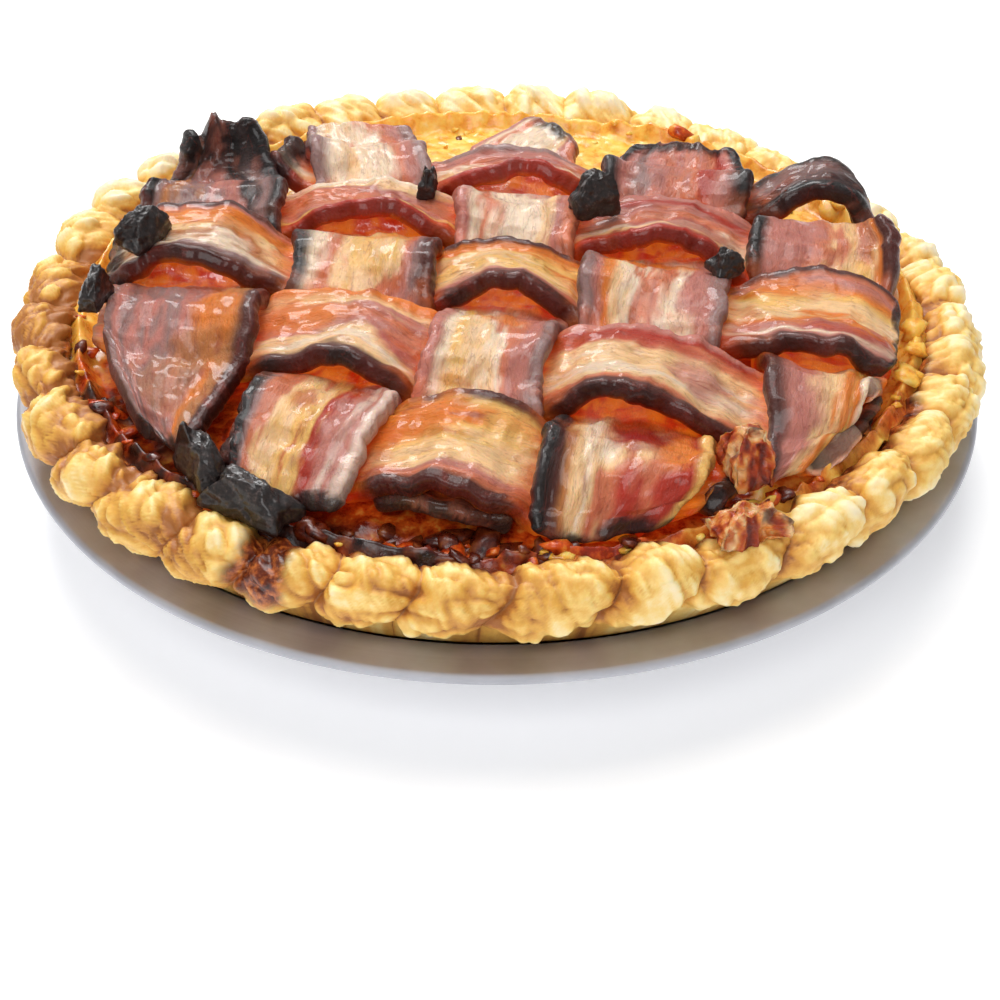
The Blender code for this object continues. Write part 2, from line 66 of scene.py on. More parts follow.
def add_node(material, kind, settings=None, stops=None, give=0, **sockets):
    """A node with settings, a ramp's stops, and values or links for its sockets (_3: input 3).

    Returns the output that is passed on, the first unless give says another.
    """
    tree = material.node_tree
    node = tree.nodes.new("ShaderNode" + kind)
    for name, value in (settings or {}).items():
        setattr(node, name, value)
    if stops:
        ramp = node.color_ramp
        while len(ramp.elements) < len(stops):
            ramp.elements.new(0.5)
        for element, (place, color) in zip(ramp.elements, stops):
            element.position = place
            element.color = linear(color) if isinstance(color, str) else (*[color] * 3, 1.0)
    for name, value in sockets.items():
        socket = node.inputs[int(name[1:]) if name[1:].isdigit() else name.replace("_", " ")]
        if isinstance(value, bpy.types.NodeSocket):
            tree.links.new(value, socket)
        else:
            socket.default_value = value
    return node.outputs[give] if node.outputs else None


def new_material(name):
    """A material with no nodes yet."""
    material = bpy.data.materials.new(name)
    material.use_nodes = True
    material.node_tree.nodes.clear()
    return material


def set_shader(material, **sockets):
    """Finish a material with one Principled shader, from values and from its patterns."""
    add_node(material, "OutputMaterial", Surface=add_node(material, "BsdfPrincipled", **sockets))


def edit(piece, *steps):
    """Run edit-mode operators, each a function, on all of one piece."""
    bpy.ops.object.select_all(action="DESELECT")
    piece.select_set(True)
    bpy.context.view_layer.objects.active = piece
    bpy.ops.object.mode_set(mode="EDIT")
    bpy.ops.mesh.select_all(action="SELECT")
    for step in steps:
        step()
    bpy.ops.object.mode_set(mode="OBJECT")


def merge():
    bpy.ops.mesh.remove_doubles(threshold=1e-6)
    bpy.ops.mesh.normals_make_consistent(inside=False)


def hand_over(piece, material, slot, *nodes):
    """Dress a finished piece, attach it to the root body and hide the imported parts it replaces.
    """
    piece.data.materials.clear()
    piece.data.materials.append(material)
    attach(piece, "root")
    if nodes:
        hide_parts(*nodes)


bpy.ops.object.select_all(action="DESELECT")
bpy.ops.mesh.primitive_circle_add(vertices=TIN_SIDES, radius=TIN_PROFILE[0][0],
                                  fill_type="NGON", location=(0.0, 0.0, 0.0))
tin = bpy.context.object
tin.name = tin.data.name = "pie_tin"


def draw_up_the_wall():
    """Extrude the base's edge along the profile, and close it with the inner base."""
    bpy.ops.mesh.select_mode(type="EDGE")
    for (radius, height), (wider, higher) in zip(TIN_PROFILE, TIN_PROFILE[1:]):
        climb = (0.0, 0.0, higher - height)
        bpy.ops.mesh.extrude_edges_move(TRANSFORM_OT_translate={"value": climb})
        bpy.ops.transform.resize(value=(wider / radius, wider / radius, 1.0),
                                 center_override=(0.0, 0.0, higher))
    bpy.ops.mesh.edge_face_add()
    bpy.ops.mesh.select_mode(type="VERT")
    bpy.ops.mesh.select_all(action="SELECT")


edit(tin, draw_up_the_wall, merge)
bpy.ops.object.shade_smooth_by_angle(angle=math.radians(40.0))

# Tin plate: rolled steel under a thin coat of tin, dulled by baking, so it mirrors only in broad
# soft patches, with the faint rings of its pressing and a few greasy marks.
tin_plate = new_material("baked tin plate")
place = add_node(tin_plate, "TexCoord", give="Object")
smears = add_node(tin_plate, "TexNoise", Vector=place, Scale=SMEAR_SCALE, Detail=4.0,
                  Roughness=0.6)
across_tin = add_node(tin_plate, "VectorMath", {"operation": "LENGTH"}, give="Value",
                      Vector=place)
rings = add_node(tin_plate, "TexNoise", {"noise_dimensions": "1D"}, W=across_tin,
                 Scale=RING_SCALE, Detail=2.0)
set_shader(tin_plate, Metallic=1.0,
           Base_Color=add_node(tin_plate, "ValToRGB", Fac=smears,
                               stops=[(0.30, "BBBCC3"), (0.70, "D3D4DA")]),
           Roughness=add_node(tin_plate, "MapRange", Value=smears, _1=0.3, _2=0.7, _3=0.66,
                              _4=0.78),
           Normal=add_node(tin_plate, "Bump", Strength=0.06, Distance=RING_DEPTH, Height=rings))
hand_over(tin, tin_plate, "tin_plate", "tin")


# ---------------------------------------------------------------- the pastry case
# Flaky butter pastry lines the tin, and its thick rim is crimped by hand into 36 puffed lumps that
# stand on the flange. It shrank back at the right. Its colour is paler on the ridges, a painted
# highlight, and golden in the folds, a painted shade.

CRIMPS, CRIMP_POINTS, RIM_ROWS = 36, 38, 58
RIM_RADIUS, RIM_HALF_WIDTH, RIM_MIDDLE, RIM_HALF_HEIGHT = 0.1162, 0.0081, 0.0402, 0.0088
RIM_START = -78.0                 # degrees round the rim's section, from outward; it ends inside
CASE_MOUTH, RIM_REACH = 0.1062, 0.1230
CREASE_DEPTH, CREASE_DROP, CREASE_LIFT, CRIMP_LEAN = 0.0050, 0.0040, 0.0030, 0.35
SHRUNK_IN, SHRUNK_DOWN, SPREAD_OUT, DRIP_DEPTH = 0.0022, 0.0042, 0.0026, 0.0022
HIDDEN_CASE = ((0.0, 0.0012), (0.0856, 0.0012), (0.1096, 0.0254), (0.1120, 0.0254))
CASE_INSIDE = ((0.1058, 0.0250), (0.0872, 0.0062), (0.0, 0.0062))
FOLD_HEIGHT, CRAG_HEIGHT, DENT_HEIGHT, FLAKE_HEIGHT = 0.00075, 0.00075, 0.0010, 0.00028
PLEAT_HEIGHT, ROPE_PLEAT_HEIGHT, THREAD_HEIGHT = 0.00030, 0.00020, 0.00012
# Angles round the pie, in degrees: how much, where and how far to either side
BROWNED = ((0.04, -90.0, 95.0), (0.12, -106.0, 36.0), (0.20, -154.0, 44.0), (0.14, 180.0, 20.0),
           (-0.10, 58.0, 100.0))
BROWNED_INSIDE = ((0.22, 178.0, 62.0), (0.30, -172.0, 40.0), (0.20, 15.0, 70.0))
JUICY_INSIDE = ((0.65, -90.0, 95.0), (0.25, 15.0, 70.0))
SPILL = ((1.0, -115.5, 5.0),)
FRECKLE_SCALE = 330.0             # brown freckles, 3 mm apart
CRUMB_SCALE, CRUMB_DEPTH = 900.0, 0.0005   # the pastry's open crumb, 1.1 mm

shuffled = np.random.default_rng(11).permutation(2048)


def rough(points, spacing, seed=0):
    """Smooth unevenness between -1 and 1 with bumps this far apart, at points [..., 3]."""
    at = points / np.array(spacing) + np.array((seed * 7.31, seed * 3.17, seed * 5.53))
    cell = np.floor(at).astype(int)
    share = at - cell
    share = share ** 3 * (share * (6 * share - 15) + 10)
    total = np.zeros(at.shape[:-1])
    for corner in range(8):
        step = np.array((corner & 1, corner >> 1 & 1, corner >> 2 & 1))
        key = cell + step
        pick = shuffled[(shuffled[(shuffled[key[..., 0] & 2047] + key[..., 1]) & 2047]
                         + key[..., 2]) & 2047]
        total += np.prod(np.where(step == 1, share, 1 - share), axis=-1) * (pick / 1023.5 - 1)
    return total


def layered(points, spacing, seed=0, layers=3):
    """Unevenness with ever finer detail on it."""
    return sum(rough(points, np.array(spacing) / 2.1 ** n, seed + n) / 1.9 ** n
               for n in range(layers)) / 1.6


def ease(values, low, high):
    """0 below low, 1 above high, and a smooth rise between."""
    share = np.clip((values - low) / (high - low), 0.0, 1.0)
    return share * share * (3 - 2 * share)


def creased(points, spacing, seed, steepness, crest):
    """Rounded swells between sharp creases: -1 in a crease, and no higher than the crest."""
    return np.minimum(steepness * np.abs(rough(points, spacing, seed)) - 1, crest)


def near(angle, middle, half_width):
    """1 at an angle round the pie (in degrees), fading to 0 half_width away from it."""
    turned = angle - math.radians(middle)
    off = np.degrees(np.abs(np.arctan2(np.sin(turned), np.cos(turned))))
    return np.cos(np.pi / 2 * np.minimum(1.0, off / half_width))


def patchy(angle, places):
    """Where something shows round the pie, from places that give how much, where and how wide."""
    return sum(amount * near(angle, middle, half_width) for amount, middle, half_width in places)


def numbers_of(piece, field):
    """A three-part value of each point of a piece's mesh."""
    values = np.empty(len(piece.data.vertices) * 3)
    piece.data.vertices.foreach_get(field, values)
    return values.reshape(-1, 3)


def sheet_of(name, points, marks, ahead=0):
    """A flat grid bent to points[i, j], merged where it meets itself, with marks at its points.

    Marks that cover fewer rows, from the one numbered ahead, are carried on to the others.
    """
    columns, rows = points.shape[0] - 1, points.shape[1] - 1
    bpy.ops.object.select_all(action="DESELECT")
    bpy.ops.mesh.primitive_grid_add(x_subdivisions=columns, y_subdivisions=rows, size=1.0)
    piece = bpy.context.object
    piece.name = piece.data.name = name
    mesh = piece.data
    flat = numbers_of(piece, "co")
    i, j = [np.rint((flat[:, axis] + 0.5) * parts).astype(int)
            for axis, parts in enumerate((columns, rows))]
    mesh.vertices.foreach_set("co", points[i, j].ravel())
    kinds = {1: ("FLOAT", "value"), 3: ("FLOAT_VECTOR", "vector"), 4: ("FLOAT_COLOR", "color")}
    for label, values in marks.items():
        picked = values[i, np.clip(j - ahead, 0, values.shape[1] - 1)]
        kind, field = kinds[picked.shape[1] if picked.ndim == 2 else 1]
        mesh.attributes.new(label, kind, "POINT").data.foreach_set(field, picked.ravel())
    mesh.update()
    edit(piece, merge)
    bpy.ops.object.shade_smooth()
    return piece


rng = random.Random(7)
crimp_share = [1.0 + rng.uniform(-0.16, 0.16) for _ in range(CRIMPS)]
crimp_size = [(rng.uniform(-0.0016, 0.0012), rng.uniform(-0.0012, 0.0008)) for _ in range(CRIMPS)]
crimp_width = 2 * np.pi * np.array(crimp_share) / sum(crimp_share)
crimp_start = np.concatenate(([0.0], np.cumsum(crimp_width)[:-1]))

count = np.arange(CRIMPS * CRIMP_POINTS + 1)
crimp = (count // CRIMP_POINTS) % CRIMPS
step = (count % CRIMP_POINTS) / CRIMP_POINTS
start = crimp_start[crimp] + 2 * np.pi * (count // CRIMP_POINTS // CRIMPS)
centre = count / CRIMP_POINTS - 0.5
before = np.floor(centre).astype(int)
share = ease(centre - before, 0.3, 0.7)
tall, out = [(1 - share) * sizes[before % CRIMPS] + share * sizes[(before + 1) % CRIMPS]
             for sizes in np.array(crimp_size).T]
crest = (np.sin(np.pi * step) ** 0.6)[:, None]

degrees = np.linspace(RIM_START, 180.0, RIM_ROWS)
turn = np.radians(degrees)[None, :]
crimped = np.interp(degrees, (RIM_START, -38, 4, 46, 92, 138, 180),
                    (0.7, 0.9, 1, 1, 1, 0.8, 0.4))[None, :]
height = (np.sin(turn) + 1) / 2
lean = CRIMP_LEAN * (height - 0.5)
angle = start[:, None] + crimp_width[crimp][:, None] * (step[:, None] + lean)
shrunk = near(angle, 38.0, 56.0)
spread = SPREAD_OUT * near(angle, -136.0, 28.0)
outward = np.maximum(0.0, np.cos(turn))

# Folds: the dough was pulled and twisted, so fine creases run over each lump, and at the back and
# left they wind round the rim like the strands of a rope.
rope = ease(near(angle, 150.0, 120.0), 0.1, 0.6)
along = angle * RIM_RADIUS
over = turn * RIM_HALF_HEIGHT + 0 * angle
slant = along + over * (0.25 + 0.75 * rope)
lump = crimp[:, None] * 0.031 + 0 * over
straight, twisted = [np.stack((way, over, 0 * over), -1) for way in (along, slant)]
folds = creased(np.stack((slant, over, lump), -1), (0.0062, 0.024, 1.0), 3, 2.2, 0.6)
pleats = creased(twisted, (0.0024, 0.011, 1.0), 5, 2.4, 0.7)
threads = rough(twisted, (0.0009, 0.0065, 1.0), 8)
dents = layered(straight, 0.0080, 13)
crags = creased(np.stack((along + 0.3 * over, over, lump), -1), (0.0048, 0.0060, 1.0), 14, 2.6, 0.8)
flakes = creased(twisted, (0.0017, 0.0034, 1.0), 15, 2.6, 0.8)
shown = ease(degrees, -80.0, -62.0)[None, :] * (1 - 0.6 * ease(degrees, 150.0, 178.0)[None, :])
relief = shown * (FOLD_HEIGHT * folds + (PLEAT_HEIGHT + ROPE_PLEAT_HEIGHT * rope) * pleats
                  + THREAD_HEIGHT * threads + DENT_HEIGHT * dents + CRAG_HEIGHT * crags
                  + FLAKE_HEIGHT * flakes)

radius = RIM_RADIUS - SHRUNK_IN * shrunk + RIM_HALF_WIDTH * (1 - 0.2 * shrunk) * np.cos(turn)
radius += (out[:, None] + spread - CREASE_DEPTH * (1 - crest) * crimped) * outward
radius -= 0.0014 * np.maximum(0.0, -np.sin(turn))
fallen = SHRUNK_DOWN * shrunk + CREASE_DROP * (1 - crest) * crimped
rise = RIM_MIDDLE + RIM_HALF_HEIGHT * np.sin(turn) + height * (tall[:, None] - fallen)
rise += CREASE_LIFT * (1 - crest) * (1 - height)
radius += relief * np.cos(turn)
rise += relief * np.sin(turn)
drips = np.clip(0.6 + 0.8 * rough(straight, (0.0070, 0.0300, 1.0), 17), 0.0, 1.4)
inside = ease(degrees, 118.0, 156.0)[None, :] * (1 - ease(degrees, 172.0, 179.0)[None, :])
radius -= DRIP_DEPTH * drips * inside
radius[:, -1] = CASE_MOUTH
radius = np.minimum(radius, RIM_REACH + spread + 0.0002)
hollow = 0.0008 * np.cos(turn / 2)
rim = np.stack((radius * np.cos(angle) + hollow, radius * np.sin(angle), rise), -1)


def plain_rings(bearings, rings):
    """Rings, each a radius and a height, hidden in the tin or under the filling."""
    return np.stack([np.stack((radius * np.cos(bearings), radius * np.sin(bearings),
                               0 * bearings + height), -1) for radius, height in rings], 1)


case_points = np.concatenate((plain_rings(angle[:, 0], HIDDEN_CASE), rim,
                              plain_rings(angle[:, 0], CASE_INSIDE)), 1)
case_points[-1] = case_points[0]

# Browning: more at the left and inside the rim, with juice stains at the front and one burnt spill
# over the rim at the front left. Darker in the folds and creases and paler on the ridges, which is
# painted shade and painted highlight.
patches = layered(straight, 0.0130, 21)
inner = ease(degrees, 100.0, 165.0)[None, :]
# The fold, pleat, crag, flake and crease terms paint shade in the hollows and highlight on the
# ridges.
browning_and_fold_shade = (0.25 - 0.10 * folds - 0.06 * pleats - 0.16 * crags - 0.08 * flakes + 0.16 * patches
         + 0.45 * (1 - crest) ** 2 + patchy(angle, BROWNED)
         + inner * (0.14 + patchy(angle, BROWNED_INSIDE)))
blots = layered(straight, 0.0075, 33)
spill = patchy(angle, SPILL) * ease(degrees, RIM_START, 0.0)[None, :]
stain = np.maximum(ease(inner * (0.55 + patchy(angle, JUICY_INSIDE)) + 0.30 * blots, 0.50, 0.95),
                   ease(spill + 0.30 * blots, 0.35, 0.8))
crust = sheet_of("pastry_case", case_points, {"browning_and_fold_shade": browning_and_fold_shade, "stain": stain},
                 ahead=len(HIDDEN_CASE))

# Baked butter pastry: matt, slightly waxy with butter and a little see-through where it is thin,
# pale cream on the ridges and golden in the folds (painted highlight and painted shade), and brown
# where meat juices soaked in.
pastry = new_material("baked butter pastry")
place = add_node(pastry, "TexCoord", give="Object")
browning_and_fold_shade_mark, soaked = [add_node(pastry, "Attribute", {"attribute_name": label}, give="Fac")
                   for label in ("browning_and_fold_shade", "stain")]
freckles = add_node(pastry, "TexNoise", Vector=place, Scale=FRECKLE_SCALE, Detail=5.0,
                    Roughness=0.62)
level = add_node(pastry, "Math", {"operation": "MULTIPLY_ADD"}, _0=freckles, _1=0.42, _2=browning_and_fold_shade_mark)
dry_tone = add_node(pastry, "ValToRGB", Fac=level,
                    stops=[(0.25, "FAE8C4"), (0.42, "FAE3AC"), (0.58, "F4CE78"),
                           (0.74, "E3AC4C"), (0.90, "CB8C3C"), (1.0, "A8682E")])
soaked_tone = add_node(pastry, "ValToRGB", Fac=freckles,
                       stops=[(0.30, "2A0E08"), (0.48, "6B2A10"), (0.60, "B4602A"),
                              (0.75, "D98F45")])
crumb = add_node(pastry, "TexNoise", Vector=place, Scale=CRUMB_SCALE, Detail=4.0, Roughness=0.6)
set_shader(pastry, IOR=1.45, Subsurface_Weight=0.25, Subsurface_Scale=0.004,
           Subsurface_Radius=(1.0, 0.55, 0.25), Coat_Weight=0.12, Coat_Roughness=0.35,
           Base_Color=add_node(pastry, "Mix", {"data_type": "RGBA"}, give=2, _0=soaked, _6=dry_tone,
                               _7=soaked_tone),
           Roughness=add_node(pastry, "MapRange", Value=soaked, _3=0.52, _4=0.20),
           Normal=add_node(pastry, "Bump", Strength=0.35, Distance=CRUMB_DEPTH, Height=crumb))
hand_over(crust, pastry, "pastry", "crust")


# ---------------------------------------------------------------- the filling
# Minced beef and melted cheese fill the case up to the bacon. It shows in the holes of the lattice
# and all round its edge: browned cheese at the back and right, dark sticky juices at the front.

DOME_TOP, DOME_DROP, EDGE_RADIUS = 0.0545, 0.0060, 0.1000
LATTICE_RADIUS = 0.1040
STRIP_THICKNESS, WAVE_HEIGHT = 0.0042, 0.0050
FILLING_SIDES = 640
FILLING_RADII = np.concatenate((np.linspace(0.0, 0.080, 40, endpoint=False),
                                np.linspace(0.080, 0.1085, 60)))
FILLING_SIDE = ((0.1060, 0.0390), (0.1050, 0.0250), (0.0860, 0.0066), (0.0, 0.0066))
AIR_UNDER_BACON, BRIM_RISE, LUMP_HEIGHT, LUMP_SPACING = 0.0007, 0.0026, 0.0016, 0.009
CHEESE_AT_EDGE = ((0.9, 100.0, 50.0), (0.8, 5.0, 50.0), (0.6, -52.0, 24.0), (0.7, 172.0, 48.0))
CHEESE_AT_BACK = ((1.0, 84.0, 88.0),)
BURNT_JUICES = ((1.0, -125.0, 60.0),)
GRAIN_SCALE, GRAIN_DEPTH = 260.0, 0.0008   # grains of mince, 4 mm apart


def lattice_middle(x, y):
    """Height of the lattice's middle surface: a low dome."""
    return DOME_TOP - DOME_DROP * (x * x + y * y) / EDGE_RADIUS ** 2


def brim_lumps(x, y):
    """The lumps of the filling's brim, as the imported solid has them."""
    spots = zip((x / LUMP_SPACING).ravel(), (y / LUMP_SPACING).ravel())
    return np.array([noise.noise(Vector((p, q, 3.0))) for p, q in spots]).reshape(x.shape)


bearing = np.linspace(0.0, 2 * np.pi, FILLING_SIDES + 1)[:, None]
out_to = FILLING_RADII[None, :]
x, y = out_to * np.cos(bearing), out_to * np.sin(bearing)
flat_place = np.stack((x, y, 0 * x), -1)
bare = np.clip((out_to - LATTICE_RADIUS) / 0.0025 + 0.4, 0.0, 1.0)
top = lattice_middle(x, y) - WAVE_HEIGHT - STRIP_THICKNESS / 2 - AIR_UNDER_BACON
top += bare * (BRIM_RISE + LUMP_HEIGHT * (0.5 + 0.5 * brim_lumps(x, y)))
mince = layered(flat_place, 0.0060, 41)
edge_ring = ease(out_to, 0.0900, 0.1000)
top += (0.0004 + 0.0009 * edge_ring) * mince + 0.0004 * layered(flat_place, 0.0022, 44)
chunks = creased(flat_place, 0.0052, 46, 2.2, 0.8)
top += ease(out_to, 0.1010, 0.1050) * (0.0014 - 0.0014 * chunks)
top -= 0.0034 * ease(out_to, 0.1050, 0.1085)
filling_points = np.concatenate((np.stack((x, y, top), -1),
                                 plain_rings(bearing[:, 0], FILLING_SIDE)), 1)
filling_points[-1] = filling_points[0]
cheese = ease(patchy(bearing, CHEESE_AT_EDGE) * edge_ring + 0.35 * mince, 0.30, 0.75)
bed = patchy(bearing, CHEESE_AT_BACK) * ease(out_to, 0.0560, 0.0760)
cheese = np.maximum(cheese, ease(bed + 0.5 * layered(flat_place, 0.0130, 48), 0.20, 0.80))
burnt = ease(patchy(bearing, BURNT_JUICES) + 0.6 * mince, 0.30, 1.0) * edge_ring
filling = sheet_of("beef_and_cheese_filling", filling_points, {"cheese": cheese, "burnt": burnt})

# Baked filling: wet and glossy with fat and meat juices, orange-red where light comes through them,
# yellow where cheese melted, nearly black where juices caramelised.
stuffing = new_material("baked beef and melted cheese")
place = add_node(stuffing, "TexCoord", give="Object")
grains = add_node(stuffing, "TexNoise", Vector=place, Scale=GRAIN_SCALE, Detail=5.0,
                  Roughness=0.6)
filling_tone = add_node(stuffing, "ValToRGB", Fac=grains,
                        stops=[(0.28, "4A1006"), (0.43, "A02C0A"), (0.56, "D45814"),
                               (0.70, "F0A040")])
for label, stops in (
        ("cheese", [(0.30, "D8842C"), (0.45, "F2AE3E"), (0.60, "F8CA5C"), (0.80, "FBE0A0")]),
        ("burnt", [(0.35, "140806"), (0.55, "3A140A"), (0.75, "7A3414")])):
    mark = add_node(stuffing, "Attribute", {"attribute_name": label}, give="Fac")
    laid_over = add_node(stuffing, "ValToRGB", Fac=grains, stops=stops)
    filling_tone = add_node(stuffing, "Mix", {"data_type": "RGBA"}, give=2, _0=mark,
                            _6=filling_tone, _7=laid_over)
set_shader(stuffing, IOR=1.42, Subsurface_Weight=0.2, Subsurface_Scale=0.004, Coat_Weight=0.25,
           Coat_Roughness=0.15, Base_Color=filling_tone,
           Roughness=add_node(stuffing, "MapRange", Value=grains, _1=0.3, _2=0.7, _3=0.16, _4=0.48),
           Normal=add_node(stuffing, "Bump", Strength=0.5, Distance=GRAIN_DEPTH, Height=grains))
hand_over(filling, stuffing, "filling", "filling")


# ---------------------------------------------------------------- the bacon lattice
# Ten thick rashers are woven over and under each other: five run from front to back (v1 to v5) and
# five from side to side (h1 to h5). Baking arched them, browned their edges and burnt the ends that
# stood up.

COLUMN_AT_Y = (-0.080, 0.0, 0.060)   # the Y at which each rasher v1 to v5 has its three X places
COLUMN_X = np.array(((-0.082, -0.077, -0.078), (-0.046, -0.030, -0.036), (-0.008, 0.004, 0.006),
                     (0.025, 0.039, 0.051), (0.080, 0.084, 0.095)))
ROW_AT_X = (-0.080, 0.0, 0.080)      # the X at which each rasher h1 to h5 has its three Y places
ROW_Y = np.array(((-0.054, -0.081, -0.090), (-0.022, -0.044, -0.058), (0.008, -0.006, -0.028),
                  (0.037, 0.022, 0.014), (0.062, 0.048, 0.036)))
WANDER, WANDER_SPACING = 0.0016, 0.0143   # how far they stray from those lines
HALF_WIDTH = 0.45                 # in crossings; narrower at some of them, by (column, row)
NARROW_ROWS = {(3, 3): 0.36, (2, 4): 0.40, (3, 5): 0.34, (2, 5): 0.36, (4, 5): 0.38}
NARROW_COLUMNS = {(5, 2): 0.35, (5, 3): 0.40, (2, 5): 0.38}
SPANS = {"v1": (2, 4), "v5": (2, 4), "h1": (2, 4), "h5": (2, 5)}   # crossings, if not 1 to 5
CROSSING_LENGTH = 0.040
SQUEEZE_START = 0.0930            # where the rim begins to push the ends in
GAP = 0.0004                      # air between crossing rashers
LIFTS = {                         # (column, row): rise of the front or left edge, and of the other
    (2, 1): (0.0026, 0.0020), (3, 1): (0.0008, 0.0030), (4, 1): (0.0044, 0.0006),
    (1, 2): (0.0000, 0.0046), (2, 2): (0.0042, 0.0006), (3, 2): (0.0034, 0.0008),
    (4, 2): (0.0050, 0.0010), (5, 2): (0.0010, 0.0020), (1, 3): (0.0075, 0.0060),
    (2, 3): (0.0034, 0.0024), (3, 3): (0.0030, 0.0012), (4, 3): (0.0036, 0.0006),
    (5, 3): (0.0036, 0.0030), (1, 4): (0.0040, 0.0030), (2, 4): (0.0052, 0.0006),
    (3, 4): (0.0030, 0.0006), (4, 4): (0.0046, 0.0006), (5, 4): (0.0030, 0.0080),
    (2, 5): (0.0050, 0.0030), (3, 5): (0.0046, 0.0020), (4, 5): (0.0040, 0.0050),
    (5, 5): (0.0085, 0.0085),
}
TAILS = {                         # both ends: length, rise, width at the tip and turn in plan
    "v1": ((0.034, -6.0, 0.45, 0.0), (0.023, 70.0, 0.60, 8.0)),
    "v2": ((0.012, -28.0, 0.90, 0.0), (0.014, 16.0, 0.90, 0.0)),
    "v3": ((0.001, -10.0, 0.95, 0.0), (0.028, 14.0, 0.60, -50.0)),
    "v4": ((0.012, -30.0, 0.80, 0.0), (0.014, 20.0, 0.70, 0.0)),
    "v5": ((0.024, -7.0, 0.75, 0.0), (0.0015, -20.0, 0.95, 0.0)),
    "h1": ((0.003, -4.0, 0.90, 0.0), (0.010, 20.0, 0.50, -30.0)),
    "h2": ((0.006, -8.0, 0.80, 0.0), (0.006, -10.0, 0.80, 0.0)),
    "h3": ((0.008, -12.0, 0.80, 0.0), (0.004, -18.0, 0.80, 0.0)),
    "h4": ((0.006, -10.0, 0.70, 0.0), (0.006, -10.0, 0.80, 0.0)),
    "h5": ((0.013, 60.0, 0.80, -30.0), (0.018, -20.0, 0.70, -30.0)),
}
POINT_SPACING = 0.00070           # between neighbouring points of a rasher's skin
EDGE_POINTS, WIDTH_POINTS = 8, 41   # round each of its edges, and across it
RAGGED, RIB_HEIGHT, FINE_RIB_HEIGHT = 0.0011, 0.00038, 0.00025
TEAR = 0.0018                     # how far most ends are torn, and those that are torn further
TORN = {"v1": (TEAR, 0.0060), "v4": (TEAR, 0.0040)}
RUMPLES = (                       # swells of the meat: height, spacing along and across, seed
    (0.0009, (0.0120, 0.0150, 1.0), 5), (0.0006, (0.0050, 0.0110, 1.0), 6),
    (0.00045, (0.0036, 0.0026, 1.0), 7), (0.0006, (0.0300, 0.0050, 1.0), 17),
)
CREASE_IN_MEAT, FIBRE_DEPTH = 0.0007, 0.0008
MEAT = {                          # what a rasher is made of, by letter
    "f": "F0C28C",                # cream fat
    "c": "F0D4B6",                # pale fat
    "y": "EDB866",                # yellow fat, clear with heat
    "o": "E07A22",                # fat and rind that light comes through
    "r": "AC2A12",                # wet red meat
    "w": "96140A",                # deep red meat under clear fat
    "m": "BE7668",                # dry mauve meat
    "p": "CE7450",                # pink meat
    "g": "93706A",                # grey: dried out, and in places a painted sheen
    "l": "DABBAA",                # dried fat
    "b": "B4713C",                # browned
    "d": "4E2016",                # dark rind
    "k": "1C1210",                # burnt
}
# The glow tones and the seeped fat's orange are painted glow: colour standing for light that comes
# through the fat.
RIND_TONES, GLOW_TONES, CHAR_TONES = ("621608", "240804"), ("CC2A04", "F4821C"), ("150F0F", "8A5040")
SEEPED_FAT_GLOW, VEIN, FINE_VEIN = "D9661E", "8E3426", "7E2C1E"
BANDS = {                         # a rasher's bands where it is on top, front or left edge first
    "v1": {2: "gmgmgmobbd", 4: "kgbgmkgk"},
    "v2": {1: "kgppfyrmmlml", 3: "kcpfyfpmgd", 5: "gcfcpmg"},
    "v3": {2: "mcyfcpmmg", 4: "mcpcccfmp"},
    "v4": {1: "kdbfcfprry", 3: "gmofcpcmmg", 5: "kmgmprmk"},
    "v5": {2: "dmmfoyoc", 4: "kmmmpfyfod"},
    "h1": {2: "kdkbdk", 3: "dpmffyooyd", 4: "dobdob"},
    "h2": {2: "dfcfmpmfo", 4: "dpfcffprm"},
    "h3": {1: "dgcbfyoomd", 3: "dmfyfyood", 5: "dmcmoffyompd"},
    "h4": {2: "rymppmfc", 4: "rfcpmrmm"},
    "h5": {3: "rfcpmmg", 5: "kdgk"},
}
SPOTS = {                         # clear or bare patches: along, across, reaches, letter, strength
    "h3": ((1.00, 0.45, 0.55, 0.45, "o", 0.8), (5.10, -0.55, 0.35, 0.30, "r", 0.6),
           (4.75, 0.65, 0.25, 0.30, "o", 0.7)),
    "h1": ((2.62, 0.50, 0.42, 0.75, "o", 1.0), (3.30, 0.55, 0.25, 0.35, "y", 0.7)),
    "v4": ((1.36, 0.30, 0.30, 0.60, "w", 1.0), (1.16, 0.72, 0.30, 0.28, "o", 0.9),
           (3.34, 0.00, 0.16, 0.90, "o", 0.9)),
    "v5": ((2.10, 0.45, 0.45, 0.50, "o", 0.7), (4.00, 0.55, 0.40, 0.30, "r", 0.7)),
    "h2": ((1.70, 0.30, 0.30, 0.60, "o", 0.8), (3.85, 0.65, 0.55, 0.30, "r", 0.8),
           (4.35, 0.00, 0.20, 0.60, "m", 0.8), (2.30, -0.30, 0.20, 0.40, "r", 0.5)),
    "h4": ((4.10, -0.50, 0.45, 0.35, "w", 0.7), (1.80, 0.20, 0.30, 0.60, "p", 0.6)),
    "v1": ((1.95, 0.60, 0.45, 0.40, "o", 0.8), (1.60, 0.40, 0.25, 0.50, "b", 0.8),
           (1.28, 0.10, 0.35, 0.80, "b", 0.5)),
    "v2": ((1.15, -0.20, 0.20, 0.30, "r", 0.6), (3.30, 0.30, 0.20, 0.60, "o", 0.6),
           (0.85, 0.60, 0.25, 0.40, "m", 0.6)),
    "v3": ((2.36, 0.00, 0.15, 0.80, "o", 0.7), (4.30, 0.40, 0.20, 0.50, "m", 0.7)),
    "h5": ((3.00, -0.50, 0.50, 0.35, "r", 0.8),),
}
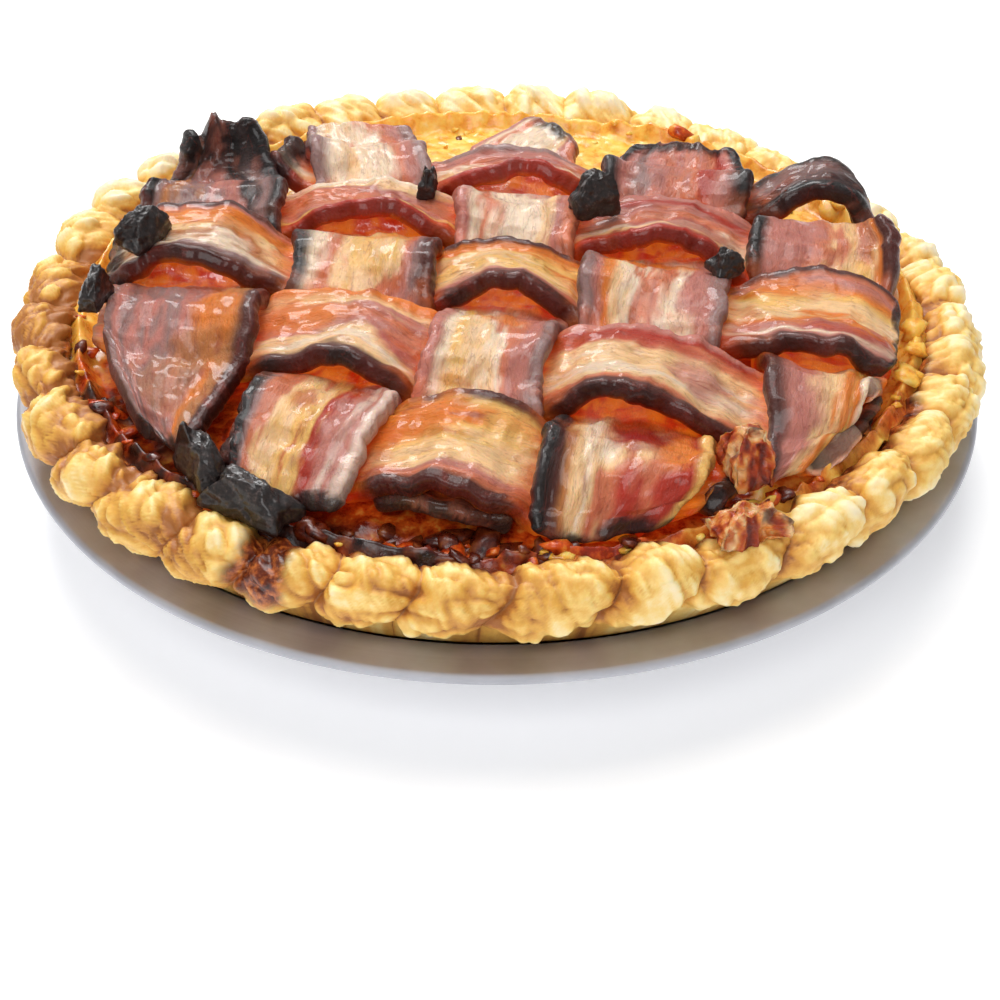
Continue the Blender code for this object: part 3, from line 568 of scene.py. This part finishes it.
RIND = {                          # how dark baking made the rind: front or left edge, and the other
    "v1": (0.75, 0.80), "v2": (0.90, 0.30), "v3": (0.25, 0.35), "v4": (0.60, 0.30),
    "v5": (0.25, 0.85), "h1": (0.90, 0.50), "h2": (0.95, 0.45), "h3": (0.85, 0.65),
    "h4": (0.50, 0.40), "h5": (0.45, 0.75),
}
CHARRED_ENDS = {                  # how much of the first and of the second end burnt
    "v1": (0.006, 0.024), "v2": (0.004, 0.000), "v3": (0.014, 0.006), "v4": (0.005, 0.006),
    "v5": (0.000, 0.000), "h1": (0.032, 0.004), "h2": (0.000, 0.007), "h3": (0.012, 0.003),
    "h4": (0.004, 0.000), "h5": (0.012, 0.040),
}


def through(values, places, at):
    """A parabola through three values."""
    p, q, r = places
    return (values[..., 0] * (at - q) * (at - r) / ((p - q) * (p - r))
            + values[..., 1] * (at - p) * (at - r) / ((q - p) * (q - r))
            + values[..., 2] * (at - p) * (at - q) / ((r - p) * (r - q)))


def between(table, places, number, at):
    """The line numbered 1 to 5 (fractions lie between two), at a place along it."""
    first = np.clip(np.floor(number).astype(int), 1, len(table) - 1)
    part = number - first
    at = np.clip(at, 1.25 * places[0], 1.5 * places[2])
    before, after = [through(table[line], places, at) for line in (first - 1, first)]
    return (1 - part) * before + part * after


def open_place(column, row):
    """Plan place of a lattice coordinate, before the rim pushes it in."""
    x, y = 0.0 * column, 0.0 * column
    for _ in range(8):
        x = between(COLUMN_X, COLUMN_AT_Y, column, y)
        y = between(ROW_Y, ROW_AT_X, row, x)
    spots = [Vector((p, q, 0.0))
             for p, q in zip((x / WANDER_SPACING).ravel(), (y / WANDER_SPACING).ravel())]
    aside = np.array([(noise.noise(s), noise.noise(s + Vector((9, 4, 2)))) for s in spots])
    return [v + WANDER * part.reshape(x.shape) for v, part in zip((x, y), aside.T)]


def cell_of(is_row, number, crossing):
    """The column and row where a rasher meets another, or is at that place along it."""
    return (crossing, number) if is_row else (number, crossing)


def half_of(is_row, cell):
    """Half width of the row or of the column where the two cross."""
    return (NARROW_ROWS if is_row else NARROW_COLUMNS).get(cell, HALF_WIDTH)


def on_top(is_row, cell):
    return (sum(cell) % 2 == 0) == is_row


def strip_height(is_row, cell, step, across, off_along, off_across):
    """Height over the dome, over or under the other rasher, with edges lifted if on top."""
    wave = np.cos(np.pi * np.minimum(0.5, off_along))
    apart = WAVE_HEIGHT * (wave + np.cos(np.pi * np.minimum(0.5, off_across))) / 2
    extra = np.maximum(0.0, (STRIP_THICKNESS + GAP) / 2 - apart)
    extra = extra * np.clip((0.5 - off_along) / (0.5 - half_of(not is_row, cell)), 0.0, 1.0)
    level = WAVE_HEIGHT * wave + extra
    if not on_top(is_row, cell):
        return -level
    first, second = LIFTS[cell]
    lift = np.maximum(first * np.maximum(0.0, -across) ** 1.4,
                      second * np.maximum(0.0, across) ** 1.4)
    if min(first, second) > WAVE_HEIGHT:
        lift = np.maximum(lift, min(first, second))
    return level + lift * np.cos(np.pi / 2 * np.clip(step, -1.0, 1.0))


def strip_rows(number, is_row, along, across):
    """The middle surface of a rasher where it is woven, at places along it, in crossings."""
    crossing = np.clip(np.rint(along).astype(int), 1, 5)
    cells = {other: cell_of(is_row, number, other) for other in range(1, 6)}
    places = [other + side * HALF_WIDTH for other in cells for side in (-1, 1)]
    widths = [half_of(is_row, cell) for cell in cells.values() for _ in range(2)]
    half = np.interp(along, places, widths)[:, None]
    a = np.broadcast_to(across[None, :], (len(along), len(across)))
    s = np.broadcast_to(along[:, None], a.shape)
    x, y = open_place(*cell_of(is_row, number + half * a, s))
    z = np.empty_like(x)
    for other, cell in cells.items():
        here = crossing == other
        if here.any():
            off = along[here, None] - other
            z[here] = strip_height(is_row, cell, off / half_of(not is_row, cell), a[here],
                                   np.abs(off), np.abs((half * a)[here]))
    return np.stack((x, y, z), -1)


def loose_end(rows, tail, heading):
    """Rows past a rasher's end, which droops or curls up, narrows and may turn aside."""
    length, rise, tip, turn = tail
    steps = max(3, int(round(length / POINT_SPACING)))
    last = rows[-1]
    mid = last[len(last) // 2].copy()
    sides = last - mid
    added = []
    for n in range(1, steps + 1):
        part = n / steps
        climb = math.radians(rise) * min(1.0, 1.4 * part)
        turned = math.radians(turn) * part
        spin = np.array(((math.cos(turned), -math.sin(turned), 0),
                         (math.sin(turned), math.cos(turned), 0), (0, 0, 1)))
        ahead = spin @ heading * math.cos(climb) + np.array((0, 0, math.sin(climb)))
        mid = mid + ahead * length / steps
        added.append(mid + (sides @ spin.T) * (1 + (tip - 1) * part))
    return np.array(added)


def settle(points):
    """From open plan place and height over the dome to the real place, inside the rim."""
    x, y, z = points[..., 0], points[..., 1], points[..., 2]
    radius = np.maximum(np.hypot(x, y), 1e-9)
    room = LATTICE_RADIUS - SQUEEZE_START
    pushed = np.where(radius > SQUEEZE_START,
                      LATTICE_RADIUS - room * np.exp(-(radius - SQUEEZE_START) / room), radius)
    x, y = x * pushed / radius, y * pushed / radius
    return np.stack((x, y, lattice_middle(x, y) + z), -1)


def eased(rows):
    """The same rows with their kinks smoothed along the rasher, as meat bends."""
    spread = 5
    kernel = np.hanning(2 * spread + 3)[1:-1]
    padded = np.concatenate((2 * rows[:1] - rows[spread:0:-1], rows,
                             2 * rows[-1:] - rows[-2:-spread - 2:-1]))
    return sum(weight * padded[n:n + len(rows)]
               for n, weight in enumerate(kernel / kernel.sum()))


def unit(vectors):
    return vectors / np.maximum(np.linalg.norm(vectors, axis=-1, keepdims=True), 1e-12)


def tint_of(code, other=None, share=0.0):
    """A hex colour as linear red, green and blue, or a blend of two."""
    tint = np.array(linear(code)[:3])
    return tint if other is None else (1 - share) * tint + share * np.array(linear(other)[:3])


def toward(color, tint, share):
    """Colours moved by a share of the way to another."""
    return color + np.asarray(share)[..., None] * (tint - color)


def band_colors(words, along, across, grain, seed):
    """Linear colour of the meat and fat, blended from crossing to crossing along a rasher."""
    feather = (0.20 * rough(grain, (0.0110, 0.0026, 1.0), seed)
               + 0.14 * rough(grain, (0.0042, 0.0014, 1.0), seed + 1))
    drift = 0.34 * rough(grain, (0.0180, 0.0160, 1.0), seed + 2) * (1 - across ** 4)
    bent = np.sign(across) * np.abs(across) ** 1.6 + drift + feather * (1 - across ** 2)
    mixed = before = None
    for crossing, word in sorted(words.items()):
        palette = np.array([tint_of(MEAT[letter]) for letter in word])
        at = np.clip((bent + 1) / 2, 0.0, 1.0) * (len(palette) - 1)
        first = np.minimum(at.astype(int), len(palette) - 2)
        part = ease(at - first, 0.0, 1.0)[..., None]
        color = (1 - part) * palette[first] + part * palette[first + 1]
        if mixed is None:
            mixed = color
        else:
            margin = 0.35 * (crossing - before)
            mixed = toward(mixed, color, ease(along + 0.2 * feather, before + margin,
                                              crossing - margin))
        before = crossing
    return mixed


def make_rasher(name, number, is_row, seed):
    """One rasher: a closed skin round its woven middle surface, with its colours on it."""
    first, last = SPANS.get(name, (1, 5))
    half_first, half_last = [half_of(not is_row, cell_of(is_row, number, crossing))
                             for crossing in (first, last)]
    low, high = first - half_first, last + half_last
    across = np.linspace(-1.0, 1.0, WIDTH_POINTS)
    middle = WIDTH_POINTS // 2
    along = np.linspace(low, high, int((high - low) * CROSSING_LENGTH / POINT_SPACING))
    woven = strip_rows(number, is_row, along, across)
    marks_at = [strip_rows(number, is_row, np.array(pair), across)[:, middle]
                for pair in ((low + half_first / 2, low), (high - half_last / 2, high))]
    headings = [unit((b - a) * np.array((1, 1, 0))) for a, b in marks_at]
    front, back = [loose_end(rows, tail, heading) for rows, tail, heading in
                   zip((woven[::-1], woven), TAILS[name], headings)]
    surface = settle(eased(np.concatenate((front[::-1], woven, back))))
    step = (high - low) / (len(along) - 1)
    along = np.concatenate((low - step * np.arange(len(front), 0, -1), along,
                            high + step * np.arange(1, len(back) + 1)))
    steps = np.linalg.norm(np.diff(surface[:, middle], axis=0), axis=1)
    length = np.concatenate(([0.0], np.cumsum(steps)))
    half_width = np.linalg.norm(surface[:, -1] - surface[:, 0], axis=1)[:, None] / 2

    # Torn ends and ragged edges, then the rumples that baking leaves in the meat
    a = np.broadcast_to(across[None, :], surface.shape[:2])
    run = np.stack((np.broadcast_to(length[:, None], a.shape), a * half_width, 0 * a + number), -1)
    from_end = np.minimum(run[..., 0], length[-1] - run[..., 0])
    first_half = run[..., 0] < length[-1] / 2
    forward = unit(np.gradient(surface, axis=0))
    sideways = unit(np.gradient(surface, axis=1))
    up = unit(np.cross(forward, sideways)) * (1.0 if is_row else -1.0)
    tear = layered(run * np.array((0, 1, 1)), 0.0060, seed + 3)
    at_end = (1 - ease(from_end, 0.0, 0.010)) * np.where(first_half, -1.0, 1.0)
    torn = np.where(first_half, *TORN.get(name, (TEAR, TEAR)))
    surface = surface + forward * (torn * tear * at_end)[..., None]
    ragged = RAGGED * layered(run * np.array((1, 0, 1)), 0.0060, seed + 4)
    surface = surface + sideways * (ragged * np.abs(a) ** 3 * np.sign(a))[..., None]
    rumple = sum(height * rough(run, spacing, seed + n) for height, spacing, n in RUMPLES)
    rumple = rumple - CREASE_IN_MEAT * np.abs(rough(run, (0.0042, 0.0058, 1.0), seed + 27))
    surface = surface + up * rumple[..., None]

    # The skin: over the top, round one edge, back underneath and round the other
    half_thick = STRIP_THICKNESS / 2
    end_round = np.sqrt(np.clip(1 - (1 - np.clip(from_end / half_thick, 0, 1)) ** 2, 0, 1))
    end_round[0] = end_round[-1] = 0.0
    thick = half_thick * (1 + 0.12 * rough(run, 0.009, seed + 8)) * end_round
    core = surface - half_thick * a[..., None] * sideways
    sag = 1 + 0.35 * np.abs(a) ** 6
    edge_run = run * np.array((1, 0, 1))
    ribs = (RIB_HEIGHT * rough(edge_run, (0.0019, 1.0, 1.0), seed + 9)
            + FINE_RIB_HEIGHT * rough(edge_run, (0.0008, 1.0, 1.0), seed + 10))
    rounding = np.linspace(math.pi / 2, -math.pi / 2, EDGE_POINTS + 2)[1:-1]

    def round_edge(column, outward, angles):
        """The skin's points round one edge, with which side they are on and how far across."""
        for turned in angles:
            bulge = math.cos(turned) ** 0.6
            lift = math.copysign(abs(math.sin(turned)) ** 0.75, turned)
            grown = lift * (sag[:, column] if turned < 0 else 1.0)
            reach = outward * bulge * (thick + ribs * end_round)[:, column]
            edge = core[:, column] + sideways[:, column] * reach[:, None]
            edge = edge + up[:, column] * (grown * thick[:, column])[:, None]
            yield (edge[:, None], np.full((len(a), 1), lift),
                   a[:, [column]] + outward * 0.04 * bulge)

    layers = [(core + up * thick[..., None], 0 * a + 1.0, a), *round_edge(-1, 1.0, rounding),
              ((core - up * (thick * sag)[..., None])[:, ::-1], 0 * a - 1.0, a[:, ::-1]),
              *round_edge(0, -1.0, rounding[::-1])]
    skin, side, at = [np.concatenate((*parts, parts[0][:, :1]), 1) for parts in zip(*layers)]
    reach = np.broadcast_to(along[:, None], at.shape)
    run = np.broadcast_to(length[:, None], at.shape)
    grain = np.stack((run, at * half_width, side * 0.002 + seed), -1)

    # What shows on top: bands of meat and fat, clear or bare patches, veins, and dark ribbed rind
    color = band_colors(BANDS[name], reach, np.clip(at, -1, 1), grain, seed + 20)
    mottle = layered(grain, 0.0045, seed + 11)
    for spot, over_at, long, wide, letter, strength in SPOTS[name]:
        off = np.hypot((reach - spot) / long, (at - over_at) / wide) + 0.35 * mottle
        color = toward(color, tint_of(MEAT[letter]), strength * (1 - ease(off, 0.45, 1.05)))
    color = color * (1 + 0.16 * layered(grain, (0.0060, 0.0030, 1.0), seed + 14))[..., None]
    vein = 1 - 9.0 * np.abs(rough(grain, (0.0160, 0.0030, 1.0), seed + 15) + 0.12 * mottle)
    vein = np.maximum(vein, 0.0) * ease(layered(grain, 0.0090, seed + 16), -0.1, 0.5)
    color = toward(color, tint_of(VEIN), 0.65 * vein)
    rind = (1 - ease(np.abs(side), 0.55, 0.97)) * (np.abs(at) > 0.99)
    baked = 0.85 + 0.45 * layered(grain, (0.0140, 1.0, 1.0), seed + 19)
    rind = np.clip(rind * np.where(at < 0, *RIND[name]) * baked, 0.0, 1.0)
    dark = ease(layered(grain, (0.0120, 1.0, 1.0), seed + 12), -0.4, 0.5)[..., None]
    color = toward(color, tint_of(*RIND_TONES, dark), 0.92 * rind)

    # Painted glow: below each rasher and where another lies over it, the wet meat is coloured a
    # glowing orange-red for light that comes through the fat above; the orange fat that seeps out
    # beside it is painted as glowing too.
    covered, seep_and_glow = np.zeros_like(at), np.zeros_like(at)
    for crossing in range(first, last + 1):
        cell = cell_of(is_row, number, crossing)
        if not on_top(is_row, cell):
            off = np.abs(reach - crossing) / half_of(not is_row, cell)
            covered = np.maximum(covered, 1 - ease(off + 0.10 * mottle, 0.85, 1.30))
            seep_and_glow = np.maximum(seep_and_glow, 1 - ease(off + 0.30 * mottle, 0.95, 1.75))
    glow_and_grease = np.maximum(covered, 0.5 * ease(-side, 0.5, 1.0))
    light = ease(mottle + 0.4 * rough(grain, (0.01, 0.002, 1.0), seed + 13), -0.5, 0.6)[..., None]
    color = toward(color, tint_of(*GLOW_TONES, light), 0.9 * glow_and_grease)
    seep_and_glow = np.maximum(0.0, seep_and_glow - covered) * ease(-mottle, -0.5, 0.5) * (1 - rind)
    color = toward(color, tint_of(SEEPED_FAT_GLOW), 0.55 * seep_and_glow)

    # Charred ends, crackled to brown in places
    char = np.zeros_like(at)
    for off, reached in zip((run, length[-1] - run), CHARRED_ENDS[name]):
        here = 1 - ease(off + 0.003 * mottle, 0.4 * reached, reached + 1e-4)
        char = np.maximum(char, here * (off < reached))
    crackle = rough(grain, (0.0040, 0.0026, 1.0), seed + 18)
    crackle = ease(mottle + 0.5 * crackle, 0.05, 0.7)[..., None]
    color = toward(color, tint_of(*CHAR_TONES, crackle), 0.9 * char)
    marks = {"meat": np.concatenate((color, np.ones((*at.shape, 1))), -1), "glow_and_grease": glow_and_grease * (1 - char),
             "char": np.maximum(char, 0.8 * rind), "grain": grain}
    return sheet_of("bacon_rasher_" + name, skin.transpose(1, 0, 2),
                    {label: np.swapaxes(values, 0, 1) for label, values in marks.items()})


# Baked streaky bacon: dense cured meat between bands of rendered fat, waxy and a little
# see-through, with fine fibres, a greyish bloom on top that is dried out in places and a painted
# sheen in others, and glossy fat below that is painted glowing orange-red. Its edges are crisp dark
# rind.
bacon = new_material("baked streaky bacon")
meat_mark, glow_and_grease_mark, char_mark, grain_mark = [
    add_node(bacon, "Attribute", {"attribute_name": label}, give=output)
    for label, output in (("meat", "Color"), ("glow_and_grease", "Fac"), ("char", "Fac"), ("grain", "Vector"))]
patterns = []
for bumps_per_metre, detail, roughness in (   # along, across and through the rasher
        ((220.0, 1300.0, 500.0), 4.0, 0.60),     # fibres 0.8 mm apart and 4.5 mm long
        ((500.0, 900.0, 500.0), 6.0, 0.65),      # mottling of 1 to 2 mm
        ((70.0, 300.0, 200.0), 4.0, 0.50),       # veins 3 mm apart and 14 mm long
        ((700.0, 700.0, 700.0), 5.0, 0.70)):     # burnt crust of 1.4 mm
    stretched = add_node(bacon, "Mapping", Vector=grain_mark, Scale=bumps_per_metre)
    patterns.append(add_node(bacon, "TexNoise", Vector=stretched, Scale=1.0, Detail=detail,
                             Roughness=roughness))
fibres, mottling, vein_field, burnt_crust = patterns
shades = [meat_mark]
for pattern, stops, share in ((fibres, [(0.30, 0.74), (0.50, 0.94), (0.70, 1.0)], 0.45),
                              (mottling, [(0.34, 0.70), (0.46, 0.90), (0.60, 1.0)], 0.55)):
    shade = add_node(bacon, "ValToRGB", Fac=pattern, stops=stops)
    shades.append(add_node(bacon, "Mix", {"data_type": "RGBA", "blend_type": "MULTIPLY"}, give=2,
                           _0=share, _6=shades[-1], _7=shade))
vein_line = add_node(bacon, "Math", {"operation": "COMPARE"}, _0=vein_field, _1=0.5, _2=0.008)
vein_share = add_node(bacon, "Math", {"operation": "MULTIPLY"}, _0=vein_line, _1=0.30)
# Light that has soaked through the clear fat above glows orange-red where a rasher lies covered.
glow_share = add_node(bacon, "Math", {"operation": "POWER"}, _0=glow_and_grease_mark, _1=2.0)
# It is greasier where it is wet, and uneven with its fibres, with a pitted crust where it burnt.
gloss = add_node(bacon, "MapRange", Value=glow_and_grease_mark, _3=0.29, _4=0.19)
crisp = add_node(bacon, "Math", {"operation": "MULTIPLY"}, _0=burnt_crust, _1=char_mark)
raised = mottling
for layer, amount in ((crisp, 2.0), (fibres, 0.5)):
    raised = add_node(bacon, "Math", {"operation": "MULTIPLY_ADD"}, _0=layer, _1=amount,
                      _2=raised)
set_shader(bacon, IOR=1.34, Subsurface_Weight=0.3, Subsurface_Scale=0.003,
           Subsurface_Radius=(1.0, 0.30, 0.10), Coat_Weight=0.35, Coat_Roughness=0.12,
           Base_Color=add_node(bacon, "Mix", {"data_type": "RGBA"}, give=2, _0=vein_share,
                               _6=shades[2], _7=linear(FINE_VEIN)),
           Emission_Color=add_node(bacon, "Mix", {"data_type": "RGBA"}, give=2, _0=glow_share,
                                   _6=linear("000000"), _7=shades[1]),
           Emission_Strength=0.36,
           Roughness=add_node(bacon, "Math", {"operation": "MULTIPLY_ADD"}, _0=fibres, _1=0.30,
                              _2=gloss),
           Normal=add_node(bacon, "Bump", Strength=0.95, Distance=FIBRE_DEPTH, Height=raised))

rashers = []
for rasher_number in range(1, 6):
    for letter, is_row in (("v", False), ("h", True)):
        rasher = make_rasher(f"{letter}{rasher_number}", rasher_number, is_row,
                             rasher_number * 3 + (40 if is_row else 0))
        hand_over(rasher, bacon, "bacon", f"bacon_{letter}{rasher_number}")
        rashers.append(rasher)


# ---------------------------------------------------------------- charred scraps
# Seven chips of bacon burnt to coal on the lattice and at its front left edge. Each is brittle and
# rough, baked into the meat under it, with grey ash in patches.

SCRAPS, SCRAP_CUTS = 7, 7
SUNK = 0.0012                     # how deep a chip is baked into what it lies on
CRUST_SCALE, CRUST_DEPTH = 700.0, 0.0009   # burnt crust, 1.4 mm

# Burnt meat: black and crusty, grey where ash clings, with tiny bright glints of dried fat.
charcoal = new_material("burnt bacon")
place = add_node(charcoal, "TexCoord", give="Object")
crusty = add_node(charcoal, "TexNoise", Vector=place, Scale=CRUST_SCALE, Detail=6.0,
                  Roughness=0.7)
set_shader(charcoal, Roughness=0.40, IOR=1.38, Coat_Weight=0.5, Coat_Roughness=0.12,
           Base_Color=add_node(charcoal, "ValToRGB", Fac=crusty,
                               stops=[(0.35, "0A0606"), (0.55, "221614"), (0.72, "5A4A46")]),
           Normal=add_node(charcoal, "Bump", Strength=0.6, Distance=CRUST_DEPTH, Height=crusty))
DOWN = Vector((0.0, 0.0, -1.0))


def tree_of(piece):
    mesh = piece.data
    return BVHTree.FromPolygons([v.co for v in mesh.vertices],
                                [p.vertices for p in mesh.polygons])


filling_tree, covers = tree_of(filling), [tree_of(rasher) for rasher in rashers]
beds = [filling_tree, tree_of(crust)] + covers


def chip_from(node_name, name, cuts, seed, pleated=0.0):
    """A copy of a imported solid, with a broader foot, roughened and fused to what is below."""
    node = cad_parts[node_name]
    piece = node.copy()
    piece.data = node.data.copy()
    for key in list(piece.keys()):
        del piece[key]
    piece.parent = None
    piece.name = piece.data.name = name
    bpy.context.scene.collection.objects.link(piece)
    edit(piece, lambda: bpy.ops.mesh.remove_doubles(threshold=1e-5),
         lambda: bpy.ops.mesh.subdivide(number_cuts=cuts, smoothness=0.25))
    co, normals = [numbers_of(piece, field) for field in ("co", "normal")]
    crumple = 0.0007 * layered(co, 0.0032, seed) + 0.0004 * layered(co, 0.0012, seed + 10)
    crumple -= pleated * np.abs(rough(co, (0.0030, 0.0030, 0.0120), seed + 20))
    lowest, highest = co[:, 2].min(), co[:, 2].max()
    foot = 0.35 * (1 - ease(co[:, 2], lowest, (lowest + highest) / 2))[:, None]
    foot = foot * np.array((1, 1, 0)) * (co - co.mean(axis=0))
    shaped = co + normals * crumple[:, None] + foot
    gaps = []
    for spot in shaped:
        hits = [bed.ray_cast(Vector(spot) + Vector((0.0, 0.0, 0.003)), DOWN)[0] for bed in beds]
        gaps.append(min((spot[2] - hit.z for hit in hits if hit), default=1.0))
    shaped[:, 2] -= min(gaps) + SUNK
    piece.data.vertices.foreach_set("co", shaped.ravel())
    piece.data.update()
    bpy.ops.object.shade_smooth()
    return piece, co


for number in range(1, SCRAPS + 1):
    scrap, _ = chip_from(f"charred_scrap_{number}", f"charred_chip_{number}", SCRAP_CUTS,
                         60 + number)
    hand_over(scrap, charcoal, "char", f"charred_scrap_{number}")


# ---------------------------------------------------------------- crumpled bacon ends
# At the front right the end of a rasher crumpled into two lumps, browned in streaks and burnt
# mostly on their upper parts, with clear orange fat between them. They are bacon like the rashers.

END_CUTS, PLEAT_IN_END = 11, 0.0020
END_SHADES = ("6A1C0A", "B8441A", "E89040", "F8D098", "C46426")   # from dark to pale and back to orange, along a streaky pattern
SEARED = "43201A"

for number in (1, 2):
    lump_end, co = chip_from(f"bacon_end_{number}", f"crumpled_bacon_end_{number}", END_CUTS,
                             80 + number, PLEAT_IN_END)
    streak = layered(co, (0.0026, 0.0026, 0.0100), 90 + number)
    tint = np.stack([np.interp(streak, (-0.5, -0.2, 0.05, 0.3, 0.55), shade)
                     for shade in np.array([linear(code) for code in END_SHADES]).T], -1)
    higher = co[:, 2] - co[:, 2].mean()
    seared = ease(layered(co, 0.0050, 95 + number) + 40 * higher, 0.3, 0.8)
    tint = toward(tint, np.array(linear(SEARED)), 0.85 * seared)
    # Where the streaks are pale and orange, the mark also makes the meat faintly glow: painted
    # glow.
    for label, kind, field, values in (
            ("meat", "FLOAT_COLOR", "color", tint),
            ("glow_and_grease", "FLOAT", "value", 0.4 * ease(streak, -0.2, 0.7)),
            ("char", "FLOAT", "value", seared), ("grain", "FLOAT_VECTOR", "vector", co)):
        mark = lump_end.data.attributes.new(label, kind, "POINT")
        mark.data.foreach_set(field, values.ravel())
    hand_over(lump_end, bacon, "bacon", f"bacon_end_{number}")


# ---------------------------------------------------------------- crumbs of the filling
# Loose bits of mince and melted cheese boiled up between the bacon and the crust: dark and sticky
# at the front, yellow at the right and the back. Each is a small uneven lump, half sunk in juices.

CRUMBS = 130
SMALLEST_CRUMB, CRUMB_RANGE = 0.0009, 0.0028   # radius, and how much larger the largest are
CRUMB_RING = (0.088, 0.1072, 0.1060)           # innermost, outermost and most usual place
ABOVE_ALL = 0.09                               # a height over everything on the pie

bpy.ops.object.select_all(action="DESELECT")
bpy.ops.mesh.primitive_ico_sphere_add(subdivisions=2, radius=1.0, location=(0.0, 0.0, 0.0))
crumb = bpy.context.object
crumb.name = "crumb"
ball = np.array([v.co for v in crumb.data.vertices])
for label in ("cheese", "burnt"):
    crumb.data.attributes.new(label, "FLOAT", "POINT")
rng = random.Random(23)
bits = []
while len(bits) < CRUMBS:
    bearing_at = rng.uniform(-math.pi, math.pi)
    if rng.random() > 0.12 + 0.88 * near(np.array(bearing_at), -90.0, 85.0):
        continue
    reach_at = rng.triangular(*CRUMB_RING)
    above = Vector((reach_at * math.cos(bearing_at), reach_at * math.sin(bearing_at), ABOVE_ALL))
    spot = filling_tree.ray_cast(above, DOWN)[0]
    if not spot or any(tree.ray_cast(above, DOWN)[0] for tree in covers):
        continue
    size = SMALLEST_CRUMB + CRUMB_RANGE * rng.random() ** 2.2
    shape = ball * np.array([size * rng.uniform(0.8, 1.8), size * rng.uniform(0.7, 1.2),
                             size * 0.55])
    shape = shape * (1 + 0.50 * rough(ball, 0.7, len(bits)))[:, None]
    spin = Euler((rng.uniform(-0.5, 0.5), rng.uniform(-0.5, 0.5), rng.uniform(0, 6.28)))
    bit = crumb.copy()
    bit.data = crumb.data.copy()
    placed = shape @ np.array(spin.to_matrix()).T + np.array(spot)
    bit.data.vertices.foreach_set("co", placed.ravel())
    front_share = near(np.array(bearing_at), -110.0, 85.0)
    is_burnt = rng.random() < 0.20 + 0.35 * front_share
    is_cheese = not is_burnt and rng.random() < 0.75 - 0.62 * front_share
    for label, amount in (("cheese", is_cheese), ("burnt", 0.85 * is_burnt)):
        bit.data.attributes[label].data.foreach_set("value", [float(amount)] * len(ball))
    bpy.context.scene.collection.objects.link(bit)
    bits.append(bit)
bpy.data.objects.remove(crumb)
bpy.ops.object.select_all(action="DESELECT")
for bit in bits:
    bit.select_set(True)
bpy.context.view_layer.objects.active = bits[0]
bpy.ops.object.join()
bpy.ops.object.shade_smooth()
bits[0].name = bits[0].data.name = "filling_crumbs"
hand_over(bits[0], stuffing, "filling")


# ---------------------------------------------------------------- floor, light and camera
# The pie stands on a plain white table in bright, soft studio light that comes mostly from above
# and behind. The camera looks down on it at the photograph's angle.

TABLE_SIZE = 14.0
TABLE_GLOW = 0.30                 # washes most of the shadow out to white
SOFTBOXES = {                     # size, power, place and what it faces
    "softbox_above": (1.0, 16.0, (-0.10, 0.45, 1.55), (0.0, 0.0, 0.0)),
    "softbox_front": (0.7, 7.0, (-0.25, -1.00, 0.95), (0.0, 0.0, 0.0)),
    "softbox_behind": (0.4, 5.5, (-0.25, 0.80, 0.70), (0.0, 0.0, 0.03)),
}
ROOM_LIGHT = 0.32
LENS_MM, SENSOR_MM = 80.1, 36.0
CAMERA_PLACE, CAMERA_TILT = (0.00078, -0.48643, 0.34089), 53.546

bpy.ops.object.select_all(action="DESELECT")
bpy.ops.mesh.primitive_plane_add(size=TABLE_SIZE, location=(0.0, 0.0, 0.0))
table = bpy.context.object
table.name = "white_table"
# White acrylic lit from below: even, matt and nearly without shadow.
table_top = new_material("lit white acrylic")
set_shader(table_top, Base_Color=linear("F4F4F4"), Roughness=0.6, Emission_Color=linear("FFFFFF"),
           Emission_Strength=TABLE_GLOW)
table.data.materials.append(table_top)

for name, (size, power, place, target) in SOFTBOXES.items():
    lamp = bpy.data.lights.new(name, "AREA")
    lamp.shape, lamp.size, lamp.energy = "SQUARE", size, power
    stand = bpy.data.objects.new(name, lamp)
    stand.location = place
    facing = Vector(target) - Vector(place)
    stand.rotation_euler = facing.to_track_quat("-Z", "Y").to_euler()
    bpy.context.scene.collection.objects.link(stand)

world = bpy.data.worlds.new("studio")
world.use_nodes = True
room = world.node_tree.nodes["Background"].inputs
room["Color"].default_value = (1.0, 1.0, 1.0, 1.0)
room["Strength"].default_value = ROOM_LIGHT
bpy.context.scene.world = world
bpy.context.scene.view_settings.view_transform = "Standard"

lens = bpy.data.cameras.new("camera")
lens.lens, lens.sensor_width = LENS_MM, SENSOR_MM
camera = bpy.data.objects.new("camera", lens)
camera.location = CAMERA_PLACE
camera.rotation_euler = (math.radians(CAMERA_TILT), 0.0, 0.0)
bpy.context.scene.collection.objects.link(camera)
bpy.context.scene.camera = camera
